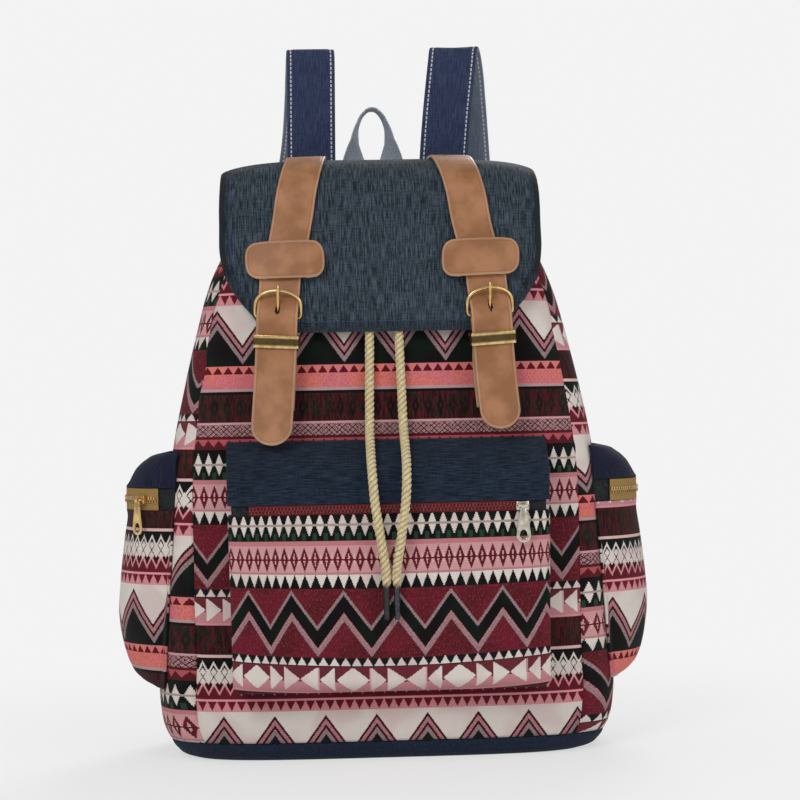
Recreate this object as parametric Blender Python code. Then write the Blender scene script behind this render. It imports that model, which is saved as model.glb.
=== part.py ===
"""A drawstring backpack of patterned woven cloth with a denim flap, leather straps with
buckles, a zipped front pocket and two zipped side pockets. All sizes are millimetres,
turned into Blender's metres by MM. The front faces -Y and the bag stands on z = 0."""

import math

import bmesh
import bpy
import numpy as np

MM = 0.001
GAP = 0.3
Y_SHIFT = 5.42

# Body bag: a superellipse section, from the base up to the gathered casing.
SECTION_POWER = 4.0
CORNER = 0.5 ** (1 / SECTION_POWER)
BASE_TOP = 13.0
PANEL_TOP = 366.0
CLOTH = 2.0
PANEL_ROWS = np.array((BASE_TOP + GAP, 26, 46, 105, 165, 215, 255, 288, 317, 343, PANEL_TOP))
HALF_WIDTH = (
    (0, 139), (4, 147), (13, 154), (40, 161), (68, 159.5), (140, 155), (220, 148),
    (255, 140.5), (304, 128.6), (320, 124), (336, 118), (350, 111.5), (366, 105),
)
HALF_DEPTH = (
    (0, 61), (4, 67), (13, 71), (40, 75), (120, 76), (200, 73), (255, 69.5),
    (304, 65), (336, 61.5), (350, 58.5), (366, 54.5),
)
FOLD_DEPTH = 1.1
FOLD_PERIOD = 44.0

# Gathered casing: height, half width, half depth and pleat depth of each ring.
CASING_RINGS = (
    (366.3, 105, 54.5, 0.0), (379, 99, 50.5, 0.02), (391, 81, 41.5, 0.05),
    (400.5, 62, 32.5, 0.06),
)
PLEATS = 12

# Flap: the profile of its outer side as (y, z), then its half width along the way.
FLAP_THICK = 2.3
FLAP_LIFT = 10.3
FLAP_BOTTOM = 293.0
FLAP_BACK = (
    (62.5, 354), (62.8, 372), (60.5, 390), (54, 403), (41, 412.5), (20, 416), (-5, 417),
    (-28, 415.5), (-45, 410), (-57.5, 399.5), (-63.2, 386),
)
FLAP_WIDTH = (
    (293, 66), (294.5, 76), (298, 83), (306, 90), (315, 97.5), (329, 106), (345, 110.5),
    (356, 112), (372, 112),
)
FLAP_TOP_WIDTH = 110.0
FLAP_SEAM_WIDTH = 104.0

# Leather: straps, tabs and the oblong that crosses each strap.
STRAP_HALF = 14.0
TAB_HALF = 13.8
TAB_START = 47.0
LEATHER = 2.5
OBLONG_HALF = 27.0
OBLONG_LOW = 329.5
OBLONG_HIGH = 355.0
BUCKLE_Z = 302.0
BUCKLE_X = 71.0
STRAP_LEAN = 0.07
TIP_LEFT = -87.5
TIP_RIGHT = -79.0

# Metal of the buckles.
HEEL_LIFT = 14.2
ROD = 1.5
FRAME_HALF = 16.4
FRAME_TILT = 0.34
ARCH_START = 8.5
ARCH_RISE = 9.0
PRONG_ROD = 1.1
TAB_LEATHER = 1.4
KEEPER_TALL = 8.6
KEEPER_WALL = 1.1

# Front pocket.
POCKET_HALF = 109.0
POCKET_FRONT = 104.0
POCKET_CORNER = 18.0
POCKET_BOTTOM = 49.0
POCKET_TOP = 219.5
BAND_LOW = 177.3
PANEL_HIGH = 170.0
POCKET_CLOTH = 1.8
FRONT_ZIP = 94.0
FRONT_SLIDER = 89.0

# Side pockets: a round arc in plan, so that the zip runs on a true circle.
SIDE_CENTRE = 133.0
SIDE_RADIUS = 50.0
SIDE_ZIP_LOW = 172.3
SIDE_ZIP_HIGH = 188.0
SIDE_SLIDER_ANGLE = 44.0
SIDE_REACH = (
    (49.5, 0.06), (51.5, 0.42), (55, 0.72), (63, 1.0), (72, 1.14), (84, 1.24), (100, 1.3),
    (120, 1.236), (150, 1.09), (166, 1.0), (189, 1.0),
)
CAP_REACH = (
    (188, 1.0), (191, 0.95), (196, 0.87), (202, 0.74), (207, 0.55), (210.5, 0.33), (212.3, 0.06),
)

# Zip section: tape, bead of teeth, slider and pull.
TAPE = 0.9
BEAD = 4.0
BEAD_DEEP = 2.2
PULL_LONG = 24.5

# Drawstring.
CORD = 6.3
CORD_X = 11.0
TIP_LONG = 22.0
TIP_THICK = 4.4

# Carrying straps.
SHOULDER_HALF = 18.0
SHOULDER_THICK = 6.0
WEBBING_HALF = 12.5
WEBBING = 1.6
GRAB_HALF = 9.5
YOKE_ROWS = np.array((318.0, 336, 354, 372))

COLOURS = {
    "woven": (0.14, 0.02, 0.03),
    "denim": (0.03, 0.05, 0.08),
    "navy": (0.02, 0.03, 0.08),
    "leather": (0.37, 0.17, 0.08),
    "brass": (0.80, 0.62, 0.35),
    "tape": (0.45, 0.33, 0.18),
    "rope": (0.75, 0.62, 0.36),
    "webbing": (0.40, 0.44, 0.48),
    "tip": (0.02, 0.02, 0.02),
}

nodes_home = None
cutters_home = None


def clear_scene():
    for old in list(bpy.data.objects):
        bpy.data.objects.remove(old)


def collection(name, hidden):
    made = bpy.data.collections.new(name)
    bpy.context.scene.collection.children.link(made)
    made.hide_render = hidden
    return made


def material(node, kind):
    made = bpy.data.materials.new(node + "_" + kind)
    made.use_nodes = True
    shader = made.node_tree.nodes["Principled BSDF"]
    shader.inputs["Base Color"].default_value = (*COLOURS[kind], 1)
    shader.inputs["Roughness"].default_value = 0.3 if kind == "brass" else 0.8
    shader.inputs["Metallic"].default_value = 1.0 if kind == "brass" else 0.0
    return made


def along(table, at):
    """A smooth curve through the table's points."""
    keys, values = np.array(table, float).T
    slopes = np.gradient(values, keys)
    at = np.clip(np.asarray(at, float), keys[0], keys[-1])
    i = np.clip(np.searchsorted(keys, at, side="right") - 1, 0, len(keys) - 2)
    step = keys[i + 1] - keys[i]
    t = (at - keys[i]) / step
    rise = (2 * t**3 - 3 * t**2 + 1) * values[i] + (3 * t**2 - 2 * t**3) * values[i + 1]
    bend = (t**3 - 2 * t**2 + t) * slopes[i] + (t**3 - t**2) * slopes[i + 1]
    return rise + bend * step


def unit(vectors):
    length = np.linalg.norm(vectors, axis=-1, keepdims=True)
    return vectors / np.maximum(length, 1e-9)


def root(value):
    return np.maximum(value, 0.0) ** (1 / SECTION_POWER)


def front_depth(x, z):
    """How far the body's front lies before y = 0, without its folds."""
    return along(HALF_DEPTH, z) * root(1 - np.abs(x / along(HALF_WIDTH, z)) ** SECTION_POWER)


def side_width(y, z):
    return along(HALF_WIDTH, z) * root(1 - np.abs(y / along(HALF_DEPTH, z)) ** SECTION_POWER)


def fold(across, share, z):
    """Soft folds that start at mid height, deepen to the casing and end at the seams."""
    rise = np.clip((z - 235) / 120, 0, 1) ** 2
    wave = np.cos(2 * np.pi * (np.abs(across) - CORD_X) / FOLD_PERIOD)
    return -FOLD_DEPTH * rise * (1 - share**2) * wave


def finish(name, vertices, faces, kind, cutter=False):
    """A mesh object in metres with its faces turned outward."""
    vertices = np.asarray(vertices, float).reshape(-1, 3)
    mesh = bpy.data.meshes.new(name)
    mesh.from_pydata([tuple(v) for v in (vertices + (0, Y_SHIFT, 0)) * MM], [], faces)
    shape = bmesh.new()
    shape.from_mesh(mesh)
    bmesh.ops.recalc_face_normals(shape, faces=shape.faces)
    if shape.calc_volume(signed=True) < 0:
        bmesh.ops.reverse_faces(shape, faces=shape.faces)
    shape.to_mesh(mesh)
    shape.free()
    made = bpy.data.objects.new(name, mesh)
    if cutter:
        cutters_home.objects.link(made)
        made.hide_render = True
        made.display_type = "WIRE"
    else:
        nodes_home.objects.link(made)
        mesh.materials.append(material(name, kind))
    return made


def grid_faces(rows, columns, offset, closed):
    """Quads over a grid of rows by columns, closed across the rows or not."""
    wide = rows if closed else rows - 1
    return [
        (
            offset + i * columns + j,
            offset + ((i + 1) % rows) * columns + j,
            offset + ((i + 1) % rows) * columns + j + 1,
            offset + i * columns + j + 1,
        )
        for i in range(wide)
        for j in range(columns - 1)
    ]


def shell(name, outer, inner, kind, closed=False):
    """A closed sheet between two grids of points. closed joins the last row to the first."""
    rows, columns = outer.shape[:2]
    count = rows * columns
    faces = grid_faces(rows, columns, 0, closed)
    faces += [tuple(reversed(f)) for f in grid_faces(rows, columns, count, closed)]
    wide = rows if closed else rows - 1
    for i in range(wide):
        k = (i + 1) % rows
        for j in (0, columns - 1):
            edge = (i * columns + j, k * columns + j)
            edge += (count + k * columns + j, count + i * columns + j)
            faces.append(edge)
    if not closed:
        for j in range(columns - 1):
            for i in (0, rows - 1):
                edge = (i * columns + j, i * columns + j + 1)
                edge += (count + i * columns + j + 1, count + i * columns + j)
                faces.append(edge)
    points = np.concatenate([outer.reshape(-1, 3), inner.reshape(-1, 3)])
    return finish(name, points, faces, kind)


def sheet(name, place, us, vs, thick, kind, closed=False, lift=0.0):
    """A cloth sheet: place(u, v) gives the outer side, and its thickness goes inward."""
    u, v = np.meshgrid(us, vs, indexing="ij")
    outer = place(u, v)
    step = 1e-3
    across = place(u + step, v) - place(u - step, v)
    upward = place(u, v + step) - place(u, v - step)
    normal = unit(np.cross(across, upward))
    return shell(name, outer + lift * normal, outer + (lift - thick) * normal, kind, closed)


def sweep(name, stations, section, kind, closed=False, cutter=False):
    """Sections swept along stations. A station is (origin, e1, e2), or with its own section."""
    rings = []
    for station in stations:
        origin, e1, e2 = (np.asarray(part, float) for part in station[:3])
        outline = np.asarray(station[3] if len(station) > 3 else section, float)
        rings.append(origin + outline[:, :1] * e1 + outline[:, 1:] * e2)
    count = len(rings[0])
    total = len(rings)
    faces = []
    for i in range(total if closed else total - 1):
        k = (i + 1) % total
        for j in range(count):
            m = (j + 1) % count
            faces.append((i * count + j, i * count + m, k * count + m, k * count + j))
    if not closed:
        faces.append(tuple(range(count)))
        faces.append(tuple(range((total - 1) * count, total * count)))
    return finish(name, np.concatenate(rings), faces, kind, cutter)


def circle(radius, sides):
    turn = np.arange(sides) * 2 * np.pi / sides + np.pi / sides
    return np.stack([radius * np.cos(turn), radius * np.sin(turn)], axis=1)


def rod(name, path, radius, sides, kind, closed=False, cutter=False):
    """A round rod along a path of points; radius may be one number or one per point."""
    path = np.asarray(path, float)
    if closed:
        ahead = unit(np.roll(path, -1, axis=0) - np.roll(path, 1, axis=0))
    else:
        ahead = unit(np.gradient(path, axis=0))
    radii = np.broadcast_to(radius, len(path))
    helper = np.array((0.3, 0.1, 1.0)) if abs(ahead[0][2]) < 0.9 else np.array((1.0, 0.2, 0))
    e1 = unit(np.cross(ahead[0], helper))
    stations = []
    for point, heading, size in zip(path, ahead, radii):
        e1 = unit(e1 - heading * np.dot(e1, heading))
        e2 = np.cross(heading, e1)
        stations.append((point, e1, e2, circle(size, sides)))
    return sweep(name, stations, None, kind, closed, cutter)


def ring_plate(name, outer, inner, depth, place, kind):
    """A flat plate with a hole, from two outlines with as many points."""
    outer = np.asarray(outer, float)
    inner = np.asarray(inner, float)
    count = len(outer)
    layers = []
    for level in depth:
        for outline in (outer, inner):
            layers.append(place(outline[:, 0], outline[:, 1], np.full(count, level)))
    faces = []
    for j in range(count):
        m = (j + 1) % count
        faces.append((j, m, count + m, count + j))
        faces.append((2 * count + j, 3 * count + j, 3 * count + m, 2 * count + m))
        faces.append((j, 2 * count + j, 2 * count + m, m))
        faces.append((count + j, count + m, 3 * count + m, 3 * count + j))
    return finish(name, np.concatenate(layers), faces, kind)


def rounded_box(half_u, half_v, radius, steps=3):
    """The outline of a rectangle with round corners, anticlockwise."""
    points = []
    for corner, (cu, cv) in enumerate(((1, 1), (-1, 1), (-1, -1), (1, -1))):
        for k in range(steps + 1):
            turn = (corner + k / steps) * np.pi / 2
            points.append((
                cu * (half_u - radius) + radius * math.cos(turn),
                cv * (half_v - radius) + radius * math.sin(turn),
            ))
    return np.array(points)


def boolean(target, other, operation):
    """Applies the Boolean at once, and keeps the cutter hidden or drops the joined piece."""
    modifier = target.modifiers.new("joined", "BOOLEAN")
    modifier.operation = operation
    modifier.solver = "EXACT"
    modifier.object = other
    graph = bpy.context.evaluated_depsgraph_get()
    made = bpy.data.meshes.new_from_object(target.evaluated_get(graph))
    target.modifiers.clear()
    old = target.data
    target.data = made
    bpy.data.meshes.remove(old)
    bpy.data.objects.remove(other)


# Body bag


def front_panel():
    def place(u, z):
        x = u * (CORNER * along(HALF_WIDTH, z) - GAP / 2)
        depth = front_depth(x, z) + fold(x, u, z)
        return np.stack([x, -depth, z + 0 * x], axis=-1)

    return sheet("front_panel", place, np.linspace(-1, 1, 17), PANEL_ROWS, CLOTH, "woven")


def back_panel():
    def place(u, z):
        x = -u * (CORNER * along(HALF_WIDTH, z) - GAP / 2)
        return np.stack([x, front_depth(x, z), z + 0 * x], axis=-1)

    return sheet("back_panel", place, np.linspace(-1, 1, 9), PANEL_ROWS, CLOTH, "woven")


def side_panel(name, side):
    def place(u, z):
        y = u * side * (CORNER * along(HALF_DEPTH, z) - GAP / 2)
        width = side_width(y, z) + fold(y, u, z)
        return np.stack([side * width, y, z + 0 * y], axis=-1)

    return sheet(name, place, np.linspace(-1, 1, 9), PANEL_ROWS, CLOTH, "woven")


def ring_turns(half_width, half_depth, count):
    """Angles that space the points of a superellipse evenly."""
    fine = np.linspace(0, 2 * np.pi, 4001)
    power = 2 / SECTION_POWER
    x = half_width * np.sign(np.cos(fine)) * np.abs(np.cos(fine)) ** power
    y = half_depth * np.sign(np.sin(fine)) * np.abs(np.sin(fine)) ** power
    way = np.concatenate([[0], np.cumsum(np.hypot(np.diff(x), np.diff(y)))])
    return np.interp(np.arange(count) / count * way[-1], way, fine)


def on_ring(turn, half_width, half_depth):
    power = 2 / SECTION_POWER
    x = half_width * np.sign(np.cos(turn)) * np.abs(np.cos(turn)) ** power
    y = half_depth * np.sign(np.sin(turn)) * np.abs(np.sin(turn)) ** power
    return x, y


def base_panel():
    """A denim tray with a flat underside, its rim meeting the panels."""
    count = 32
    turn = ring_turns(150, 70, count)
    outer_rings = ((0.0, 138, 60), (2.0, 144, 64.8), (6.5, 149.6, 68.6), (BASE_TOP, 154, 71))
    inner_rings = ((2.4, 137, 59), (4.0, 141.8, 62.6), (7.5, 147.4, 66.4), (BASE_TOP, 152, 69))
    points = []
    for rings in (outer_rings, inner_rings):
        for height, half_width, half_depth in rings:
            x, y = on_ring(turn, half_width, half_depth)
            points.append(np.stack([x, y, np.full(count, height)], axis=1))
    faces = []
    levels = len(outer_rings)
    for start in (0, levels):
        for i in range(start, start + levels - 1):
            for j in range(count):
                m = (j + 1) % count
                faces.append((i * count + j, i * count + m, (i + 1) * count + m, (i + 1) * count + j))
        faces.append(tuple(range(start * count, (start + 1) * count)))
    for j in range(count):
        m = (j + 1) % count
        rim = (levels - 1) * count
        top = (2 * levels - 1) * count
        faces.append((rim + j, rim + m, top + m, top + j))
    return finish("base_panel", np.concatenate(points), faces, "denim")


def casing():
    """The gathered top, drawn in by the cord round an open mouth."""
    count = PLEATS * 4
    turn = ring_turns(100, 52, count)
    pleat = np.cos(np.arange(count) * 2 * np.pi * PLEATS / count)
    layers = []
    for inward in (0.0, 1.8):
        rings = []
        for height, half_width, half_depth, deep in CASING_RINGS:
            x, y = on_ring(turn, half_width - inward, half_depth - inward)
            scale = 1 + deep * pleat
            drop = 0.8 * inward * (height > 370)
            rings.append(np.stack([x * scale, y * scale, np.full(count, height - drop)], axis=1))
        layers.append(np.stack(rings, axis=1))
    return shell("drawstring_casing", layers[0], layers[1], "woven", closed=True)


# Flap


def flap_profile():
    """Points down the middle of the flap's outer side, from the back seam to the hem."""
    front = [(-(along(HALF_DEPTH, z) + FLAP_LIFT), z) for z in np.arange(366, FLAP_BOTTOM - 1, -10.0)]
    front = [p for p in front if p[1] > FLAP_BOTTOM + 4]
    front.append((-(along(HALF_DEPTH, FLAP_BOTTOM) + FLAP_LIFT), FLAP_BOTTOM))
    points = np.array(list(FLAP_BACK) + [(float(y), z) for y, z in front])
    way = np.concatenate([[0], np.cumsum(np.linalg.norm(np.diff(points, axis=0), axis=1))])
    return way, points


def flap_centre(s):
    way, points = flap_profile()
    y = along(np.stack([way, points[:, 0]], axis=1), s)
    z = along(np.stack([way, points[:, 1]], axis=1), s)
    return y, z


def flap_way(z):
    """How far along the profile the front of the flap reaches this height."""
    s = np.linspace(190, flap_profile()[0][-1], 800)
    heights = flap_centre(s)[1]
    return float(np.interp(-z, -heights, s))


def flap_point(x, s, lift=0.0):
    """A point of the flap's outer side, raised by lift along the profile's normal."""
    y, z = flap_centre(s)
    ahead_y, ahead_z = flap_centre(s + 0.05)
    behind_y, behind_z = flap_centre(s - 0.05)
    dy = ahead_y - behind_y
    dz = ahead_z - behind_z
    length = np.hypot(dy, dz)
    ny = dz / length
    nz = -dy / length
    front = np.clip((s - 130) / 60, 0, 1)
    back = np.clip((45 - s) / 45, 0, 1)
    wide = along(HALF_WIDTH, np.minimum(z, 352)) + FLAP_LIFT
    wide = np.where(z > 352, 111 + FLAP_LIFT - 2 * np.clip((z - 352) / 60, 0, 1), wide)
    deep = 30 + front * (along(HALF_DEPTH, np.minimum(z, 366)) + FLAP_LIFT - 30) + back * 31
    drop = deep * (1 - root(1 - np.abs(x / wide) ** SECTION_POWER))
    away = lift - drop
    return np.stack([x + 0 * s, y + away * ny, z + away * nz], axis=-1)


def flap_half(s):
    y, z = flap_centre(s)
    front = along(FLAP_WIDTH, z)
    way_top = np.clip((s - 110) / 80, 0, 1)
    back = FLAP_SEAM_WIDTH + (FLAP_TOP_WIDTH - FLAP_SEAM_WIDTH) * np.clip(s / 70, 0, 1)
    return back + (front - back) * way_top


def flap_rows():
    """Where the rows of the flap and of the straps on it lie, along the profile."""
    end = flap_profile()[0][-1]
    top = np.array((0, 18, 36, 52, 68, 90, 114, 134, 148, 161, 175, 190, 203, 216))
    return np.concatenate([top, end - np.array((40, 24, 13, 6, 1.8, 0))])


def flap():
    rows = flap_rows()

    us = np.sin(np.linspace(-1, 1, 11) * np.pi / 2 * 0.86) / math.sin(np.pi / 2 * 0.86)
    u, s = np.meshgrid(us, rows, indexing="ij")
    x = u * flap_half(s)
    inner = flap_point(x * 0.992, s, -FLAP_THICK)
    return shell("flap", flap_point(x, s), inner, "denim")


def tab_centre(s):
    """The middle of a flap tab across the flap, for the right side."""
    z = flap_centre(s)[1]
    front = s > 120
    table = ((302, 71), (329, 69), (342, 67), (356, 64), (372, 61), (390, 58), (404, 54.5), (412, 52), (417, 50.5))
    return np.where(front, along(table, z), 50.0)


def flap_tab(name, side):
    """A leather strap over the flap that ends in a rounded oblong across it."""
    high = flap_way(OBLONG_HIGH)
    low = flap_way(OBLONG_LOW)
    long = low - high
    corner = (
        (-0.3, TAB_HALF), (0, 17.2), (1.6, 22.4), (4.6, 25.5), (10, OBLONG_HALF),
        (long - 10, OBLONG_HALF), (long - 4.6, 25.5), (long - 1.6, 22.4), (long, 17.2),
    )
    start = flap_rows()
    start = np.concatenate([[TAB_START], start[(start > TAB_START + 3) & (start < high - 9)], [high - 5]])
    s = np.concatenate([start, [high + step for step, _ in corner]])
    half = np.concatenate([np.full(len(start), TAB_HALF), [width for _, width in corner]])
    raise_by = GAP + 0.1 + 4.3 * np.clip((s - high + 13) / 12, 0, 1)
    us = np.array((-1, -0.4, 0.4, 1))
    u, way = np.meshgrid(us, s, indexing="ij")
    x = side * (tab_centre(way) + side * u * half)
    lifted = raise_by + 0 * u
    return shell(name, flap_point(x, way, lifted + LEATHER), flap_point(x, way, lifted), "leather")


# Buckles: everything sits in a frame at the heel bar, with p across, t up the strap
# and w out of the bag.


def buckle_frame_axes(side):
    x = side * BUCKLE_X
    step = 0.5

    def surface(at_x, at_z):
        return np.array((at_x, -float(front_depth(at_x, at_z)), at_z))

    over = unit(surface(x + step, BUCKLE_Z) - surface(x - step, BUCKLE_Z))
    upward = surface(x - side * STRAP_LEAN * step, BUCKLE_Z + step)
    upward = unit(upward - surface(x + side * STRAP_LEAN * step, BUCKLE_Z - step))
    outward = unit(np.cross(over, upward))
    over = np.cross(upward, outward)
    return surface(x, BUCKLE_Z), over, upward, outward


def in_buckle(side):
    origin, over, upward, outward = buckle_frame_axes(side)

    def place(p, t, w):
        p, t, w = np.broadcast_arrays(np.asarray(p, float), t, w)
        return origin + p[..., None] * over + t[..., None] * upward + w[..., None] * outward

    return place


STRAP_LIFT = (
    (-90, 18.2), (-80, 16.4), (-60, 14.0), (-40, 13.0), (-30, 13.3), (-19, 14.6), (-10, 16.5),
    (-4, 17.8), (0, 18.1), (4, 17.6), (8, 15.9), (13, 13.4), (19, 11.8), (27, 11.1), (36, 10.5),
    (50, 8.9),
)


def buckle_strap(name, side, tip):
    """The strap from under the oblong, through the buckle and keeper, to its round tip."""
    place = in_buckle(side)
    long = np.array((43, 35, 27, 19, 13, 8, 4, 0, -4, -10, -19, -30, -45, -62))
    long = np.concatenate([long[long > tip + STRAP_HALF + 1], tip + STRAP_HALF * (1 - np.sin(np.linspace(0, 0.5, 5) * np.pi * 0.96))])
    reach = np.clip((tip + STRAP_HALF - long) / STRAP_HALF, 0, 0.99)
    half = STRAP_HALF * np.sqrt(1 - reach**2)
    us = np.array((-1, 0, 1))
    u, t = np.meshgrid(us, long, indexing="ij")
    lift = along(STRAP_LIFT, t)
    outer = place(u * half, t, lift + LEATHER)
    made = shell(name, outer, place(u * half, t, lift), "leather")
    hole = rounded_box(1.7, 5.1, 1.65)
    stations = []
    for w in (10.0, 24.0):
        stations.append((place(0, 5.6, w), place(1, 5.6, w) - place(0, 5.6, w), place(0, 6.6, w) - place(0, 5.6, w)))
    cutter = sweep(name + "_hole", stations, hole, None, cutter=True)
    boolean(made, cutter, "DIFFERENCE")
    return made


def buckle_tab(name, side):
    """The leather tab sewn to the body, folded round the heel bar with a slot for the prong."""
    place = in_buckle(side)
    bend = ROD + 0.35 + TAB_LEATHER / 2
    path = [(-8.2, HEEL_LIFT + 0.95), (-5.2, HEEL_LIFT + 1.0), (-3.2, HEEL_LIFT + 1.5)]
    for turn in np.linspace(140, -140, 9):
        path.append((bend * math.cos(math.radians(turn)), HEEL_LIFT + bend * math.sin(math.radians(turn))))
    path += [(-3.4, HEEL_LIFT - 1.5), (-5.4, HEEL_LIFT - 0.95), (-9.4, HEEL_LIFT - 1.2)]
    path += [(-14.5, 11.0), (-20, 8.8), (-27, 5.0), (-35, 2.4), (-46, 2.0), (-62, 2.7)]
    path = np.array(path)
    ahead = unit(np.gradient(path, axis=0))
    normal = np.stack([-ahead[:, 1], ahead[:, 0]], axis=1)
    halves = []
    for shift in (TAB_LEATHER / 2, -TAB_LEATHER / 2):
        line = path + shift * normal
        u, _ = np.meshgrid(np.array((-13.2, 13.2)), line[:, 0], indexing="ij")
        halves.append(place(u, line[:, 0] + 0 * u, line[:, 1] + 0 * u))
    made = shell(name, halves[0], halves[1], "leather")
    slot = rounded_box(2.7, 4.4, 0.4, 1)
    stations = []
    for w in (HEEL_LIFT - 6, HEEL_LIFT + 6):
        stations.append((place(0, 0.9, w), place(1, 0.9, w) - place(0, 0.9, w), place(0, 1.9, w) - place(0, 0.9, w)))
    cutter = sweep(name + "_slot", stations, slot, None, cutter=True)
    boolean(made, cutter, "DIFFERENCE")
    return made


def buckle_frame(name, side):
    """Heel bar, side arms and the arch that lies over the strap, as one closed rod."""
    place = in_buckle(side)
    path = [(p, 0.0) for p in (-13.6, 13.6)]
    path += [(FRAME_HALF - 0.7, 0.8), (FRAME_HALF, 2.6), (FRAME_HALF, ARCH_START)]
    for turn in np.linspace(16, 164, 9):
        across = FRAME_HALF * math.cos(math.radians(turn))
        path.append((across, ARCH_START + ARCH_RISE * math.sin(math.radians(turn))))
    path += [(-FRAME_HALF, ARCH_START), (-FRAME_HALF, 2.6), (0.7 - FRAME_HALF, 0.8)]
    path = np.array(path)
    points = place(path[:, 0], path[:, 1], HEEL_LIFT + FRAME_TILT * path[:, 1])
    return rod(name, points, ROD, 8, "brass", closed=True)


def buckle_prong(name, side):
    """A sleeve on the heel bar and a pin through the strap that rests on the arch."""
    place = in_buckle(side)
    outer = circle(2.95, 14)
    inner = circle(ROD + 0.3, 14)
    made = ring_plate(name, outer, inner, (-1.9, 1.9), lambda a, b, d: place(d, a, HEEL_LIFT + b), "brass")
    path = [(2.35, 1.05), (6, 3.1), (11, 5.85), (15.5, 8.6), (18.4, 10.0), (20.6, 10.2)]
    path = np.array(path)
    points = place(0, path[:, 0], HEEL_LIFT + path[:, 1])
    radii = (PRONG_ROD, PRONG_ROD, PRONG_ROD, PRONG_ROD, 0.95, 0.7)
    pin = rod(name + "_pin", points, radii, 8, "brass")
    boolean(made, pin, "UNION")
    return made


def strap_keeper(name, side):
    """A flat metal band round the strap and the tab, below the buckle."""
    place = in_buckle(side)
    middle = -16.3
    tilt = 0.19
    outer = rounded_box(STRAP_HALF + 0.5 + KEEPER_WALL, 6.35, 1.6, 2)
    inner = rounded_box(STRAP_HALF + 0.5, 6.35 - KEEPER_WALL, 0.7, 2)

    def tilted(a, b, d):
        return place(a, middle + d - tilt * b, 13.2 + b + tilt * d)

    return ring_plate(name, outer, inner, (-KEEPER_TALL / 2, KEEPER_TALL / 2), tilted, "brass")


# Front pocket


def pocket_plan():
    """Plan of half the pocket: how far out in x, and the share of its depth."""
    return np.array([
        (POCKET_HALF, 0.0), (POCKET_HALF, 0.5), (POCKET_HALF, 0.80), (POCKET_HALF - 2.4, 0.905),
        (POCKET_HALF - 8.2, 0.976), (POCKET_HALF - POCKET_CORNER, 1.0), (46, 1.0), (0, 1.0),
    ])


def pocket_columns():
    half = pocket_plan()
    left = half * (-1, 1)
    return np.concatenate([left, half[::-1][1:]])


def pocket_depth(share, z):
    """How much of the pocket's full depth is reached at this height."""
    foot = np.clip((POCKET_BOTTOM + 13 - z) / 13, 0, 1)
    head = np.clip((z - 196) / (POCKET_TOP - 196), 0, 1)
    return (1 - foot**2.6) ** (1 / 2.6) * (1 - head**1.6)


def pocket_point(column, z, lift=0.0):
    columns = pocket_columns()
    narrow = 1 - 0.02 * np.clip((POCKET_TOP - z) / 150, 0, 1) - 0.04 * np.clip((58 - z) / 9, 0, 1) ** 2
    x = columns[column, 0] * narrow
    x = np.where(columns[column, 1] > 0.999, columns[column, 0] * np.minimum(narrow * 1.01, 1), x)
    share = columns[column, 1] * pocket_depth(0, z)
    wall = front_depth(x, z) + fold(x, x / (CORNER * along(HALF_WIDTH, z)), z) + GAP + POCKET_CLOTH
    full = np.maximum(POCKET_FRONT - wall, 0)
    return np.stack([x, -(wall + full * share), z + 0 * x], axis=-1)


def pocket_shell(name, rows, kind):
    columns = np.arange(len(pocket_columns()))
    c, z = np.meshgrid(columns, rows, indexing="ij")
    outer = pocket_point(c, z)
    across = np.gradient(outer, axis=0)
    upward = np.gradient(outer, rows, axis=1)
    normal = unit(np.cross(across, upward))
    normal[0] = (-1, 0, 0)
    normal[-1] = (1, 0, 0)
    flat = columns[(pocket_columns()[:, 1] < 0.9)]
    for k in flat:
        normal[k, :, 2] *= 0.3
    normal = unit(normal)
    inner = outer - POCKET_CLOTH * normal
    x = inner[..., 0]
    wall = front_depth(x, z) + fold(x, x / (CORNER * along(HALF_WIDTH, z)), z) + GAP
    inner[..., 1] = np.minimum(inner[..., 1], -wall)
    return shell(name, outer, inner, kind)


def pocket_panel():
    rows = np.array((POCKET_BOTTOM, 50, 52.6, 56.6, 62, 98, 134, PANEL_HIGH))
    return pocket_shell("pocket_panel", rows, "woven")


def pocket_band():
    rows = np.array((BAND_LOW, 196, 203, 209, 214, POCKET_TOP))
    return pocket_shell("pocket_band", rows, "denim")


def zip_section(tape_low, tape_high, middle):
    """Tape and bead of a zip, as (out, up) points round the section."""
    return [
        (0, tape_low), (TAPE, tape_low), (TAPE, middle - BEAD / 2), (BEAD_DEEP, middle - BEAD / 2 + 0.4),
        (BEAD_DEEP, middle + BEAD / 2 - 0.4), (TAPE, middle + BEAD / 2), (TAPE, tape_high), (0, tape_high),
    ]


def front_zip():
    """Tape and teeth under the edge of the denim band."""
    section = zip_section(PANEL_HIGH + GAP, BAND_LOW - GAP, 173.7)
    stations = []
    for x in (-FRONT_ZIP, FRONT_ZIP):
        stations.append(((x, -POCKET_FRONT + 1.6, 0), (0, -1, 0), (0, 0, 1)))
    return sweep("pocket_zip", stations, section, "tape")


def slider_axes(origin, ahead, outward):
    upward = np.array((0, 0, 1.0))
    origin = np.asarray(origin, float)

    def place(a, o, z):
        a, o, z = np.broadcast_arrays(np.asarray(a, float), o, z)
        return origin + a[..., None] * ahead + o[..., None] * outward + z[..., None] * upward

    return place


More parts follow.
